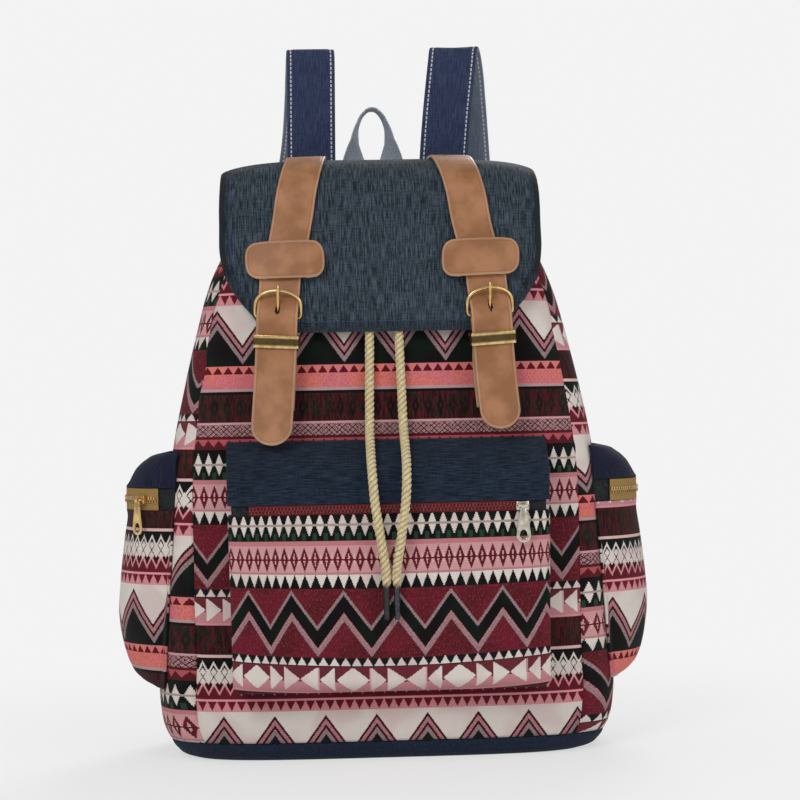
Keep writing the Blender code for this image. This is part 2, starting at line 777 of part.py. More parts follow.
def zip_slider(name, place):
    """A block that runs on the bead, with a bridge whose bar carries the pull."""
    low = TAPE + 0.35
    top = BEAD_DEEP + 0.45
    section = [
        (low, -3.3), (top + 1.0, -3.3), (top + 1.5, -2.8), (top + 1.5, 2.8), (top + 1.0, 3.3), (low, 3.3),
        (low, 2.35), (top, 2.0), (top, -2.0), (low, -2.35),
    ]
    section = np.array(section)
    rings = []
    for a, share in ((-4.6, 0.8), (-3.2, 1.0), (3.2, 1.0), (4.6, 0.8)):
        outline = section.copy()
        outline[1:5, 0] = top + (outline[1:5, 0] - top) * share
        rings.append(place(a, outline[:, 0], outline[:, 1]))
    count = len(section)
    faces = []
    for i in range(len(rings) - 1):
        for j in range(count):
            m = (j + 1) % count
            faces.append((i * count + j, i * count + m, (i + 1) * count + m, (i + 1) * count + j))
    faces.append(tuple(range(count)))
    faces.append(tuple(range((len(rings) - 1) * count, len(rings) * count)))
    made = finish(name, np.concatenate(rings), faces, "brass")
    bar = top + 3.6
    path = np.array([(-3.4, top + 0.6), (-3.4, bar - 0.7), (-2.7, bar), (2.7, bar), (3.4, bar - 0.7), (3.4, top + 0.6)])
    bridge = rod(name + "_bridge", place(path[:, 0], path[:, 1], 0), 0.65, 8, "brass")
    boolean(made, bridge, "UNION")
    return made


def zip_pull(name, place):
    """A tapered tongue with an oval hole that hangs from the slider's bar."""
    bar = BEAD_DEEP + 0.45 + 3.6
    eye_outer = circle(1.75, 12)
    eye_inner = circle(0.95, 12)
    made = ring_plate(name, eye_outer, eye_inner, (-1.5, 1.5), lambda a, b, d: place(d, bar + a, b), "brass")
    steps = 8
    turn = np.linspace(0, np.pi, steps)
    low = -PULL_LONG + 4.9
    outline = [(-2.1, -1.35), (-2.6, -4.0)]
    outline += [(-3.4, -8.5), (-4.9, low)]
    outline += [(-4.9 * math.cos(k), low - 4.9 * math.sin(k)) for k in turn[1:-1]]
    outline += [(4.9, low), (3.4, -8.5), (2.6, -4.0), (2.1, -1.35)]
    hole = [(-0.01, low + 3.6), (-0.9, low + 3.4), (-2.0, low + 2.4), (-2.5, low)]
    hole += [(-2.5 * math.cos(k), low - 2.6 * math.sin(k)) for k in turn[1:-1]]
    hole += [(2.5, low), (2.0, low + 2.4), (0.9, low + 3.4), (0.01, low + 3.6)]
    plate = ring_plate(name + "_tongue", outline, hole, (-0.55, 0.55), lambda a, b, d: place(a, bar + d, b), "brass")
    boolean(made, plate, "UNION")
    return made


# Side pockets


def side_point(side, turn, z, table, lift=0.0):
    """Outer side of a side pocket; turn is the angle from straight out, front negative."""
    reach = along(table, z)
    radius = SIDE_RADIUS + lift
    y = radius * np.sin(turn)
    arc = SIDE_CENTRE + radius * np.cos(turn)
    wall = side_width(y, z) + fold(y, y / (CORNER * along(HALF_DEPTH, z)), z) + GAP
    full = np.maximum(arc - wall - POCKET_CLOTH, 0)
    x = wall + POCKET_CLOTH + lift + full * reach
    return np.stack([side * x, y + 0 * x, z + 0 * x], axis=-1)


def side_shell(name, side, rows, table, kind):
    turns = np.radians(np.array((-76, -68, -54, -36, -18, 0, 18, 36, 54, 68, 76)))
    turn, z = np.meshgrid(turns, rows, indexing="ij")
    outer = side_point(side, turn, z, table)
    inward = np.stack([side * np.cos(turn), np.sin(turn), 0 * turn], axis=-1)
    across = np.gradient(outer, axis=0)
    upward = np.gradient(outer, rows, axis=1)
    normal = unit(np.cross(across, upward) * side)
    normal = unit(normal + 0.3 * inward)
    inner = outer - POCKET_CLOTH * normal
    wall = side_width(inner[..., 1], z) + fold(inner[..., 1], inner[..., 1] / (CORNER * along(HALF_DEPTH, z)), z) + GAP
    inner[..., 0] = side * np.maximum(side * inner[..., 0], wall)
    return shell(name, outer, inner, kind)


def side_panel_pocket(name, side):
    rows = np.array((49.5, 51.5, 55, 63, 78, 100, 135, SIDE_ZIP_LOW))
    return side_shell(name, side, rows, SIDE_REACH, "woven")


def side_cap(name, side):
    rows = np.array((SIDE_ZIP_HIGH + GAP, 196, 203, 208, 212.3))
    return side_shell(name, side, rows, CAP_REACH, "denim")


def side_zip(name, side):
    """Curved tape and teeth round the pocket, on a circle about the slider's axis."""
    section = np.array(zip_section(SIDE_ZIP_LOW + GAP, SIDE_ZIP_HIGH - GAP, 180))
    stations = []
    for turn in np.radians(np.linspace(-60, 60, 13)):
        outward = np.array((side * math.cos(turn), math.sin(turn), 0))
        centre = np.array((side * SIDE_CENTRE, 0, 0)) + (SIDE_RADIUS - 1.2) * outward
        stations.append((centre, outward, (0, 0, 1)))
    return sweep(name, stations, section, "tape")


def side_slider_place(side, turn_degrees):
    turn = math.radians(turn_degrees)
    outward = np.array((side * math.cos(turn), math.sin(turn), 0))
    ahead = np.array((-side * math.sin(turn), math.cos(turn), 0)) * side
    origin = np.array((side * SIDE_CENTRE, 0, 180)) + (SIDE_RADIUS - 1.2) * outward
    return slider_axes(origin, ahead, outward)


# Drawstring


def eyelet_place(side):
    x = side * CORD_X
    z = 370.6
    slope = 0.1
    outward = unit(np.array((0.0, -1.0, slope)))
    upward = np.cross(np.array((1.0, 0, 0)), outward)
    upward = upward if upward[2] > 0 else -upward
    origin = np.array((x, -54.7, z))

    def place(a, b, d):
        a, b, d = np.broadcast_arrays(np.asarray(a, float), b, d)
        return origin + a[..., None] * np.array((1.0, 0, 0)) + b[..., None] * upward + d[..., None] * outward

    return place


def eyelet(name, side):
    place = eyelet_place(side)
    return ring_plate(name, circle(5.4, 12), circle(3.4, 12), (0, 0.6), place, "brass")


CORD_WAY = (
    (373.4, 58.7), (363, 59.6), (350, 62.5), (334, 65.8), (316, 68.3), (298, 70.2),
    (282, 71.6), (264, 73.4), (247, 75.2), (235, 77.2), (226, 81.2), (219, 88.2), (212, 96.6),
    (205, 104.6), (198, 110.2), (189, 113.4), (176, 114.4), (162, 114.2), (150, 113.3),
    (140, 111.5), (131, 110.1), (122, 109.9),
)
CORD_SWAY = (
    (122, 2.2), (132, 3.0), (142, 5.0), (160, 7.6), (176, 10.0), (200, 11.6), (240, 11.2),
    (300, 10.0), (345, 10.6), (374, CORD_X),
)


def cord_path(side):
    way = np.array(CORD_WAY)
    sway = along(CORD_SWAY, way[:, 0])
    sway = np.maximum(sway, CORD / 2 + 0.35)
    return np.stack([side * sway, -way[:, 1], way[:, 0]], axis=1)


def cord(name, side):
    return rod(name, cord_path(side), CORD / 2, 6, "rope")


def cord_tip(name, side):
    end = cord_path(side)[-1]
    below = end - (0, 0, GAP)
    points = [below - (0, 0, k) for k in (0, 1.0, TIP_LONG - 1, TIP_LONG)]
    radii = np.array((0.86, 1, 0.9, 0.6)) * TIP_THICK / 2
    return rod(name, points, radii, 10, "tip")


# Carrying straps


def flat_section(half, thick, edge):
    return np.array([
        (-half, -thick / 2 + edge), (-half + edge, -thick / 2), (half - edge, -thick / 2), (half, -thick / 2 + edge),
        (half, thick / 2 - edge), (half - edge, thick / 2), (-half + edge, thick / 2), (-half, thick / 2 - edge),
    ])


SHOULDER_RIGHT = (
    (51, 66.7, 373.5), (51.8, 66.9, 395), (53, 67.4, 420), (56, 68.2, 455), (59.5, 70, 485),
    (61.5, 72.8, 500), (63, 78, 508.3), (65, 84.5, 509.8), (67, 90.5, 506), (69, 94.5, 495), (70.5, 96, 475),
    (72.5, 96.5, 440), (74.5, 96, 400), (77.5, 94.5, 350), (80, 92.5, 300), (82, 91, 250), (83.6, 90, 210),
    (84.4, 89.5, 190),
)
SHOULDER_LEFT = (
    (-46, 66.7, 373.5), (-46, 66.9, 395), (-45.8, 67.4, 420), (-45.4, 68.2, 455), (-45, 70, 485),
    (-44.8, 72.8, 500), (-44.8, 78, 508.3), (-45, 84.5, 509.8), (-45.4, 90.5, 506), (-46, 94.5, 495), (-47, 96, 475),
    (-50, 96.5, 440), (-57, 96, 400), (-66, 94.5, 350), (-74, 92.5, 300), (-80, 91, 250), (-83.6, 90, 210),
    (-84.4, 89.5, 190),
)
WEBBING_TOP = (84.7, 89.3, 189.5)
WEBBING_FOOT = (90.0, 76.6, 27.5)


def strip_stations(path, section_at):
    """Stations of a strap whose width stays level across its path."""
    path = np.asarray(path, float)
    ahead = unit(np.gradient(path, axis=0))
    stations = []
    for i, (point, heading) in enumerate(zip(path, ahead)):
        across = unit(np.array((1.0, 0, 0)) - heading * heading[0])
        stations.append((point, across, np.cross(heading, across), section_at(i)))
    return stations


def shoulder_strap(name, path):
    total = len(path)

    def section_at(i):
        half = SHOULDER_HALF - 3.5 * max(0, i - total + 3) / 2
        return flat_section(half, SHOULDER_THICK, 1.6)

    return sweep(name, strip_stations(path, section_at), None, "navy")


def webbing_ends(side):
    return np.array(WEBBING_TOP) * (side, 1, 1), np.array(WEBBING_FOOT) * (side, 1, 1)


def webbing_axes(side):
    top, foot = webbing_ends(side)
    down = unit(foot - top)
    across = unit(np.array((1.0, 0, 0)) - down * down[0])
    return top, down, across, np.cross(across, down)


def lower_webbing(name, side):
    top, down, across, outward = webbing_axes(side)
    foot = webbing_ends(side)[1]
    section = flat_section(WEBBING_HALF, WEBBING, 0.3)
    middle = [top + (foot - top) * k for k in (0.0, 0.5, 1.0)]
    return sweep(name, [(point, across, outward) for point in middle], section, "webbing")


def adjuster(name, side):
    """A ladder slide: a frame round the webbing with its middle bar behind it."""
    top, down, across, outward = webbing_axes(side)
    centre = top + down * 22
    sign = 1 if outward[1] > 0 else -1

    def place(a, b, d):
        return centre + a[:, None] * across + b[:, None] * down + d[:, None] * outward * sign

    near = WEBBING / 2 + GAP
    made = ring_plate(
        name, rounded_box(16.2, 9.5, 2.5, 2), rounded_box(13.2, 6.6, 0.8, 2), (-1.2, near + 2.2), place, "tip",
    )
    for number, (b, level) in enumerate(((-8.0, near + 1.1), (0, -near - 1.1), (8.0, near + 1.1))):
        if b:
            cut = []
            for d in (-6.0, near):
                cut.append((centre + b * down + d * outward * sign, across, down))
            opening = sweep(f"{name}_way_{number}", cut, rounded_box(12.9, 3.4, 0.3, 1), None, cutter=True)
            boolean(made, opening, "DIFFERENCE")
        else:
            ends = [centre + a * across + level * outward * sign for a in (-14.9, 14.9)]
            bar = rod(f"{name}_bar", ends, 1.1, 8, "tip")
            boolean(made, bar, "UNION")
    return made


def corner_tab(name, side):
    """The sewn denim tab that holds the foot of the webbing."""
    foot = webbing_ends(side)[1]
    outline = np.array(((-14.5, 0), (14.5, 0), (10, -16), (0, -22), (-10, -16)))
    rings = []
    for depth in (0.0, 3.4):
        y = 73.0 + depth
        rings.append(np.stack([foot[0] + outline[:, 0], np.full(5, y), foot[2] - 1.0 + outline[:, 1]], axis=1))
    faces = [tuple(range(5)), tuple(range(5, 10))]
    faces += [(j, (j + 1) % 5, 5 + (j + 1) % 5, 5 + j) for j in range(5)]
    return finish(name, np.concatenate(rings), faces, "denim")


def grab_loop():
    """A webbing loop whose feet lie flat and whose top stands edge on."""
    half = (
        (-13, 66.3, 372.35, 0), (-13.2, 66.3, 394, 0), (-13.6, 66.4, 412, 12), (-13.8, 66.8, 427, 42),
        (-13, 67.4, 440, 72), (-10.8, 68, 452, 84), (-6.5, 68, 460.5, 88), (-2.2, 68, 464, 90),
    )
    path = list(half) + [(-x, y, z, 180 - turn) for x, y, z, turn in half[::-1]]
    points = np.array([p[:3] for p in path], float)
    ahead = unit(np.gradient(points, axis=0))
    section = flat_section(GRAB_HALF, 1.8, 0.4)
    stations = []
    for point, heading, (_, _, _, turn) in zip(points, ahead, path):
        wish = np.array((math.cos(math.radians(turn)), math.sin(math.radians(turn)), 0))
        across = unit(wish - heading * np.dot(wish, heading))
        stations.append((point, across, np.cross(heading, across)))
    return sweep("grab_loop", stations, section, "webbing")


def back_yoke():
    """The patch across the top of the back that covers the ends of the straps."""
    def place(u, z):
        x = -u * (82 + 8 * (z - 322) / 50)
        level = 67.6 - 0.8 * (z - 318) / 54
        y = level * front_depth(x, 318.0) / front_depth(0.0, 318.0)
        return np.stack([x, y, z + 0 * x], axis=-1)

    return sheet("back_yoke", place, np.linspace(-1, 1, 7), YOKE_ROWS, 1.8, "denim")


def build():
    front_panel()
    back_panel()
    side_panel("left_side_panel", -1)
    side_panel("right_side_panel", 1)
    base_panel()
    casing()
    flap()
    pocket_panel()
    pocket_band()
    front_zip()
    place = slider_axes((FRONT_SLIDER, -POCKET_FRONT + 1.6, 173.7), np.array((1.0, 0, 0)), np.array((0, -1.0, 0)))
    zip_slider("pocket_slider", place)
    zip_pull("pocket_pull", place)
    grab_loop()
    back_yoke()
    for word, side in (("left", -1), ("right", 1)):
        flap_tab("flap_tab_" + word, side)
        buckle_strap("buckle_strap_" + word, side, TIP_LEFT if side < 0 else TIP_RIGHT)
        buckle_tab("buckle_tab_" + word, side)
        buckle_frame("buckle_frame_" + word, side)
        buckle_prong("buckle_prong_" + word, side)
        strap_keeper("strap_keeper_" + word, side)
        side_panel_pocket(f"side_pocket_{word}", side)
        side_cap(f"side_cap_{word}", side)
        side_zip(f"side_zip_{word}", side)
        place = side_slider_place(side, side * SIDE_SLIDER_ANGLE)
        zip_slider(f"side_slider_{word}", place)
        zip_pull(f"side_pull_{word}", place)
        eyelet("eyelet_" + word, side)
        cord("cord_" + word, side)
        cord_tip("cord_tip_" + word, side)
        shoulder_strap("shoulder_strap_" + word, SHOULDER_LEFT if side < 0 else SHOULDER_RIGHT)
        lower_webbing("webbing_" + word, side)
        adjuster("adjuster_" + word, side)
        corner_tab("corner_tab_" + word, side)


clear_scene()
nodes_home = collection("backpack", False)
cutters_home = collection("cutters", True)
build()
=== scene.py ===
"""A drawstring backpack of patterned woven cloth, with a denim flap, leather straps and gold
buckles, a zipped front pocket and two zipped side pockets. Sizes in the tables below are
millimetres; MM turns them into metres when a mesh is written."""

import math
from contextlib import contextmanager

import bmesh
import bpy
import numpy as np
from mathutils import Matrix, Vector, noise


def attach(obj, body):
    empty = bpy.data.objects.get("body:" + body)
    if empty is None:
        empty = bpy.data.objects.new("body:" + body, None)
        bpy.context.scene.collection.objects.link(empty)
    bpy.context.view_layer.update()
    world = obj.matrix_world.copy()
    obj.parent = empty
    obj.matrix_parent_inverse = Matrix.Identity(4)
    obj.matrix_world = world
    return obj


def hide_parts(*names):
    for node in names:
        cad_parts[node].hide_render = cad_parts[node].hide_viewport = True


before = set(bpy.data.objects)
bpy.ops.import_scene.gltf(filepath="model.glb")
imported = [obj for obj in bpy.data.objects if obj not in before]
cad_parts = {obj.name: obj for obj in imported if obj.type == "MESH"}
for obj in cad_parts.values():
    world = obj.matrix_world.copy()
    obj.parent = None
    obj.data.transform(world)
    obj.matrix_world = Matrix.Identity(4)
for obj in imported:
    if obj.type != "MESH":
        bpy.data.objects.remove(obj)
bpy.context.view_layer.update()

MM = 0.001
BACK_SHIFT = 5.42  # the tables' y starts this far behind the frame's
UP = np.array((0, 0, 1.0))
SIDES = (("left", -1), ("right", 1))


# Camera, floor and light


PALE_GREY = (0.896, 0.896, 0.896, 1)


def look_from_the_front():
    """A long lens at the height of the bag's middle, a touch to the left and rolled a degree."""
    camera = bpy.data.cameras.new("camera")
    camera.lens = 94.0
    camera.sensor_width = 36.0
    camera.clip_end = 50
    holder = bpy.data.objects.new("camera", camera)
    bpy.context.scene.collection.objects.link(holder)
    turn = math.radians(-3.0)
    target = Vector((0.0137, 0.00542, 0.246))
    away = Vector((math.sin(turn), -math.cos(turn), 0.0))
    holder.location = target + away * 1.5
    upright = (-away).to_track_quat("-Z", "Y").to_matrix()
    roll = math.radians(-1.1)
    lean = ((math.cos(roll), -math.sin(roll), 0), (math.sin(roll), math.cos(roll), 0), (0, 0, 1))
    holder.rotation_euler = (upright @ type(upright)(lean)).to_euler()
    bpy.context.scene.camera = holder


def paper(name, colour, kept, fade_from=0.12, fade_to=0.62):
    """A pale paper that shows plain to the camera and to mirrors. Near the bag it keeps a share
    of the shadow, which fades out between the two distances from the origin, in metres."""
    made = bpy.data.materials.new(name)
    made.use_nodes = True
    tree = made.node_tree
    tree.nodes.clear()
    out, mix, lit, plain, path, seen, shares, spot, away, fade = (
        tree.nodes.new("ShaderNode" + kind) for kind in (
            "OutputMaterial", "MixShader", "BsdfDiffuse", "Emission", "LightPath", "Math", "Math",
            "TexCoord", "VectorMath", "MapRange",
        )
    )
    lit.inputs["Color"].default_value = colour
    plain.inputs["Color"].default_value = colour
    seen.operation = "MAXIMUM"
    shares.operation = "MULTIPLY"
    away.operation = "LENGTH"
    fade.interpolation_type = "SMOOTHSTEP"
    reach = {"From Min": fade_from, "From Max": fade_to, "To Min": 1 - kept, "To Max": 1.0}
    for socket, value in reach.items():
        fade.inputs[socket].default_value = value
    for source, target in (
        (spot.outputs["Object"], away.inputs[0]), (away.outputs["Value"], fade.inputs["Value"]),
        (fade.outputs["Result"], shares.inputs[1]), (path.outputs["Is Camera Ray"], seen.inputs[0]),
        (path.outputs["Is Glossy Ray"], seen.inputs[1]), (seen.outputs[0], shares.inputs[0]),
        (shares.outputs[0], mix.inputs[0]), (lit.outputs[0], mix.inputs[1]),
        (plain.outputs[0], mix.inputs[2]), (mix.outputs[0], out.inputs["Surface"]),
    ):
        tree.links.new(source, target)
    return made


def lay_the_floor():
    shape = bmesh.new()
    bmesh.ops.create_grid(shape, x_segments=1, y_segments=1, size=6)
    mesh = bpy.data.meshes.new("floor")
    shape.to_mesh(mesh)
    shape.free()
    floor = bpy.data.objects.new("floor", mesh)
    bpy.context.scene.collection.objects.link(floor)
    mesh.materials.append(paper("studio_paper", PALE_GREY, 0.35))


def lamp(name, place, aim, size, watts):
    light = bpy.data.lights.new(name, "AREA")
    light.shape = "DISK"
    light.size = size
    light.energy = watts
    holder = bpy.data.objects.new(name, light)
    bpy.context.scene.collection.objects.link(holder)
    holder.location = place
    holder.rotation_euler = (Vector(aim) - Vector(place)).to_track_quat("-Z", "Y").to_euler()


def light_the_studio():
    world = bpy.data.worlds.new("studio")
    bpy.context.scene.world = world
    world.use_nodes = True
    tree = world.node_tree
    back = tree.nodes["Background"]
    back.inputs["Color"].default_value = (1, 1, 1, 1)
    plain = tree.nodes.new("ShaderNodeBackground")
    plain.inputs["Color"].default_value = PALE_GREY
    back.inputs["Strength"].default_value = 0.42
    path = tree.nodes.new("ShaderNodeLightPath")
    seen = tree.nodes.new("ShaderNodeMath")
    seen.operation = "MAXIMUM"
    mix = tree.nodes.new("ShaderNodeMixShader")
    for source, target in (
        (path.outputs["Is Camera Ray"], seen.inputs[0]),
        (path.outputs["Is Transmission Ray"], seen.inputs[1]), (seen.outputs[0], mix.inputs[0]),
        (back.outputs[0], mix.inputs[1]), (plain.outputs[0], mix.inputs[2]),
        (mix.outputs[0], tree.nodes["World Output"].inputs["Surface"]),
    ):
        tree.links.new(source, target)
    lamp("key_light", (-1.0, -1.9, 1.5), (0, 0, 0.24), 1.1, 21)
    lamp("fill_light", (1.5, -1.7, 0.9), (0, 0, 0.24), 1.3, 10)
    lamp("back_light", (0.6, 1.9, 1.6), (0, 0, 0.3), 1.2, 30)


bpy.context.scene.view_settings.view_transform = "Standard"
look_from_the_front()
lay_the_floor()
light_the_studio()


# The bag's measures


HALF_WIDTH = (
    (0, 139), (4, 147), (13, 154), (40, 161), (68, 159.5), (140, 155), (220, 148),
    (255, 140.5), (304, 128.6), (320, 124), (336, 118), (350, 111.5), (366, 105),
)
HALF_DEPTH = (
    (0, 61), (4, 67), (13, 71), (40, 75), (120, 76), (200, 73), (255, 69.5),
    (304, 65), (336, 61.5), (350, 58.5), (366, 54.5),
)
CORNER = 0.5 ** 0.25
PANEL_LOW = 13.3
PANEL_TOP = 366.0


def along(table, at):
    """A smooth curve through the table's points."""
    keys, values = np.array(table, float).T
    slopes = np.gradient(values, keys)
    at = np.clip(np.asarray(at, float), keys[0], keys[-1])
    i = np.clip(np.searchsorted(keys, at, side="right") - 1, 0, len(keys) - 2)
    step = keys[i + 1] - keys[i]
    t = (at - keys[i]) / step
    rise = (2 * t**3 - 3 * t**2 + 1) * values[i] + (3 * t**2 - 2 * t**3) * values[i + 1]
    bend = (t**3 - 2 * t**2 + t) * slopes[i] + (t**3 - t**2) * slopes[i + 1]
    return rise + bend * step


def unit(vectors):
    length = np.linalg.norm(vectors, axis=-1, keepdims=True)
    return vectors / np.maximum(length, 1e-9)


def lengths(path):
    """How far along a path each of its points lies."""
    return np.concatenate([[0], np.cumsum(np.linalg.norm(np.diff(path, axis=0), axis=1))])


def bump(values, middle, width):
    """1 at the middle, falling away to 0 over a few widths."""
    return np.exp(-(((values - middle) / width) ** 2))


def frame_at(origin, first, second, third):
    """Turns three measures along these directions into a place."""
    def place(a, b, c):
        a, b, c = np.broadcast_arrays(np.asarray(a, float), b, c)
        return origin + a[..., None] * first + b[..., None] * second + c[..., None] * third

    return place


def rounded(share):
    """The height of a rounded square's arch over this share of its half width."""
    return np.maximum(1 - np.abs(share) ** 4, 0) ** 0.25


def powered(values, power):
    """The values' sizes to a power, with their signs kept."""
    return np.sign(values) * np.abs(values) ** power


def front_depth(x, z):
    """How far the body's front lies before its middle, without folds."""
    return along(HALF_DEPTH, z) * rounded(x / along(HALF_WIDTH, z))


def side_width(y, z):
    return along(HALF_WIDTH, z) * rounded(y / along(HALF_DEPTH, z))


def fold(across, share, z):
    """The soft folds that run down from the gathered top."""
    rise = np.clip((z - 235) / 120, 0, 1) ** 2
    wave = np.cos(2 * np.pi * (np.abs(across) - 11) / 44)
    return -1.1 * rise * (1 - share**2) * wave


def ripple(x, y, z, size):
    """Smooth unevenness of -1 to 1, about this size in millimetres."""
    points = np.stack(np.broadcast_arrays(x, y, z), axis=-1) / size
    return np.array([noise.noise(p) for p in points.reshape(-1, 3)]).reshape(points.shape[:-1])


# Ways of making a piece


def piece(name, mesh, finishes, body, replaces):
    """Puts a mesh into the scene as a named piece that rides a body in place of a CAD node."""
    made = bpy.data.objects.new(name, mesh)
    bpy.context.scene.collection.objects.link(made)
    for finish in finishes if isinstance(finishes, (list, tuple)) else [finishes]:
        mesh.materials.append(finish)
    for face in mesh.polygons:
        face.use_smooth = True
    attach(made, body)
    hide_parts(replaces)
    return made


def write_points(mesh, points):
    """Points in the tables' millimetres, into the mesh in metres."""
    points = (np.asarray(points, float).reshape(-1, 3) + (0, BACK_SHIFT, 0)) * MM
    mesh.vertices.foreach_set("co", points.astype(np.float32).ravel())


def write_pattern(mesh, across, up):
    """Where each point lies on the cloth, in metres, as the pattern's own map."""
    layer = mesh.uv_layers.new(name="pattern")
    corner = np.empty(len(mesh.loops), np.int32)
    mesh.loops.foreach_get("vertex_index", corner)
    values = np.stack([np.ravel(across), np.ravel(up)], axis=1) * MM
    layer.data.foreach_set("uv", values[corner].astype(np.float32).ravel())


def write_number(mesh, name, values):
    layer = mesh.attributes.new(name, "FLOAT", "POINT")
    layer.data.foreach_set("value", np.ravel(values).astype(np.float32))


@contextmanager
def reshaped(mesh):
    """The mesh opened for bmesh operators, and written back after them."""
    shape = bmesh.new()
    shape.from_mesh(mesh)
    yield shape
    shape.to_mesh(mesh)
    shape.free()


def woven_sheet(name, columns, rows, place, lie, joined=False, edge=None, way=None):
    """A mesh from a grid: place(u, v), with u and v from 0 to 1, gives a point's place, and
    lie(u, v) where it lies on the cloth. edge and way, if given, say how far inside the cut
    edge it lies and how far along a seam. joined closes u = 1 onto u = 0."""
    shape = bmesh.new()
    bmesh.ops.create_grid(shape, x_segments=columns, y_segments=rows, size=0.5)
    flat = np.array([v.co for v in shape.verts])
    u = flat[:, 0] + 0.5
    v = flat[:, 1] + 0.5
    mesh = bpy.data.meshes.new(name)
    shape.to_mesh(mesh)
    shape.free()
    write_points(mesh, place(u, v))
    across, up = lie(u, v)
    write_pattern(mesh, across, up)
    if edge is not None:
        write_number(mesh, "edge", edge(u, v))
    if way is not None:
        write_number(mesh, "way", way(u, v))
    if joined:
        with reshaped(mesh) as shape:
            bmesh.ops.remove_doubles(shape, verts=shape.verts, dist=2e-6)
    return mesh


def thicken(made, thick, rim=0):
    """Gives a sheet its thickness, inward of the side that it was drawn on."""
    wall = made.modifiers.new("thickness", "SOLIDIFY")
    wall.thickness = thick * MM
    wall.offset = -1.0
    wall.use_even_offset = True
    wall.material_offset_rim = rim


def sewn(name, columns, rows, place, lie, finishes, node, slot, thick, rim=0, **more):
    """A sheet of cloth or leather as a piece of the bag, with its thickness."""
    mesh = woven_sheet(name, columns, rows, place, lie, **more)
    thicken(piece(name, mesh, finishes, "bag", node), thick, rim)


def settle(made):
    """Applies the piece's modifiers, so that its mesh is final."""
    graph = bpy.context.evaluated_depsgraph_get()
    mesh = bpy.data.meshes.new_from_object(made.evaluated_get(graph))
    old = made.data
    made.modifiers.clear()
    made.data = mesh
    mesh.name = old.name
    bpy.data.meshes.remove(old)


def wire(name, path, radius, finish, body, replaces, closed=False, sides=6, radii=None):
    """A round bar or strand along a path in the tables' millimetres."""
    line = bpy.data.curves.new(name, "CURVE")
    line.dimensions = "3D"
    line.bevel_depth = radius * MM
    line.bevel_resolution = sides
    line.use_fill_caps = True
    line.twist_mode = "MINIMUM"
    for one in path if np.ndim(path) == 3 else [path]:
        spline = line.splines.new("POLY")
        spline.points.add(len(one) - 1)
        for k, (point, at) in enumerate(zip(spline.points, one)):
            x, y, z = (np.asarray(at, float) + (0, BACK_SHIFT, 0)) * MM
            point.co = (x, y, z, 1)
            point.radius = 1.0 if radii is None else float(radii[k])
        spline.use_cyclic_u = closed
    holder = bpy.data.objects.new(name + "_line", line)
    bpy.context.scene.collection.objects.link(holder)
    graph = bpy.context.evaluated_depsgraph_get()
    mesh = bpy.data.meshes.new_from_object(holder.evaluated_get(graph))
    bpy.data.objects.remove(holder)
    bpy.data.curves.remove(line)
    mesh.name = name
    mesh.materials.clear()
    return piece(name, mesh, finish, body, replaces)


def smooth_path(points, step):
    """The same way with a point every step millimetres."""
    points = np.asarray(points, float)
    way = lengths(points)
    at = np.linspace(0, way[-1], max(3, int(way[-1] / step) + 1))
    return np.stack([along(np.stack([way, points[:, k]], axis=1), at) for k in range(3)], axis=1)


# Finishes


class Number:
    """A value inside a material, so that a weave or a grain is written as a sum."""

    def __init__(self, tree, socket):
        self.tree = tree
        self.socket = socket

    def work(self, kind, *others):
        node = self.tree.nodes.new("ShaderNodeMath")
        node.operation = kind
        self.tree.links.new(self.socket, node.inputs[0])
        for at, other in enumerate(others, 1):
            if isinstance(other, Number):
                self.tree.links.new(other.socket, node.inputs[at])
            else:
                node.inputs[at].default_value = other
        return Number(self.tree, node.outputs[0])

    def __add__(self, other):
        return self.work("ADD", other)

    def __sub__(self, other):
        return self.work("SUBTRACT", other)

    def __mul__(self, other):
        return self.work("MULTIPLY", other)

    def over(self, other):
        return self.work("GREATER_THAN", other)

    def under(self, other):
        return self.work("LESS_THAN", other)

    def within(self, low, high):
        return self.over(low) * self.under(high)

    def size(self):
        return self.work("ABSOLUTE")

    def wave(self, period, start=0.0):
        """0 where the value is start, 1 half a period on, and so on to and fro."""
        return (self - start).work("PINGPONG", period / 2) * (2 / period)

    def ribs(self, period):
        """A sine of this period, from -1 to 1."""
        return (self * (2 * math.pi / period)).work("SINE")

    def step(self, width):
        """The value in whole threads of this width."""
        return ((self * (1 / width)).work("FLOOR") + 0.5) * width

    def eased(self, low, high):
        node = self.tree.nodes.new("ShaderNodeMapRange")
        node.interpolation_type = "SMOOTHSTEP"
        self.tree.links.new(self.socket, node.inputs["Value"])
        node.inputs["From Min"].default_value = low
        node.inputs["From Max"].default_value = high
        return Number(self.tree, node.outputs["Result"])


def shade(text):
    """A colour from its six-digit code, as the shader reads it."""
    parts = [int(text[k:k + 2], 16) / 255 for k in (0, 2, 4)]
    return tuple(p / 12.92 if p <= 0.04045 else ((p + 0.055) / 1.055) ** 2.4 for p in parts) + (1,)


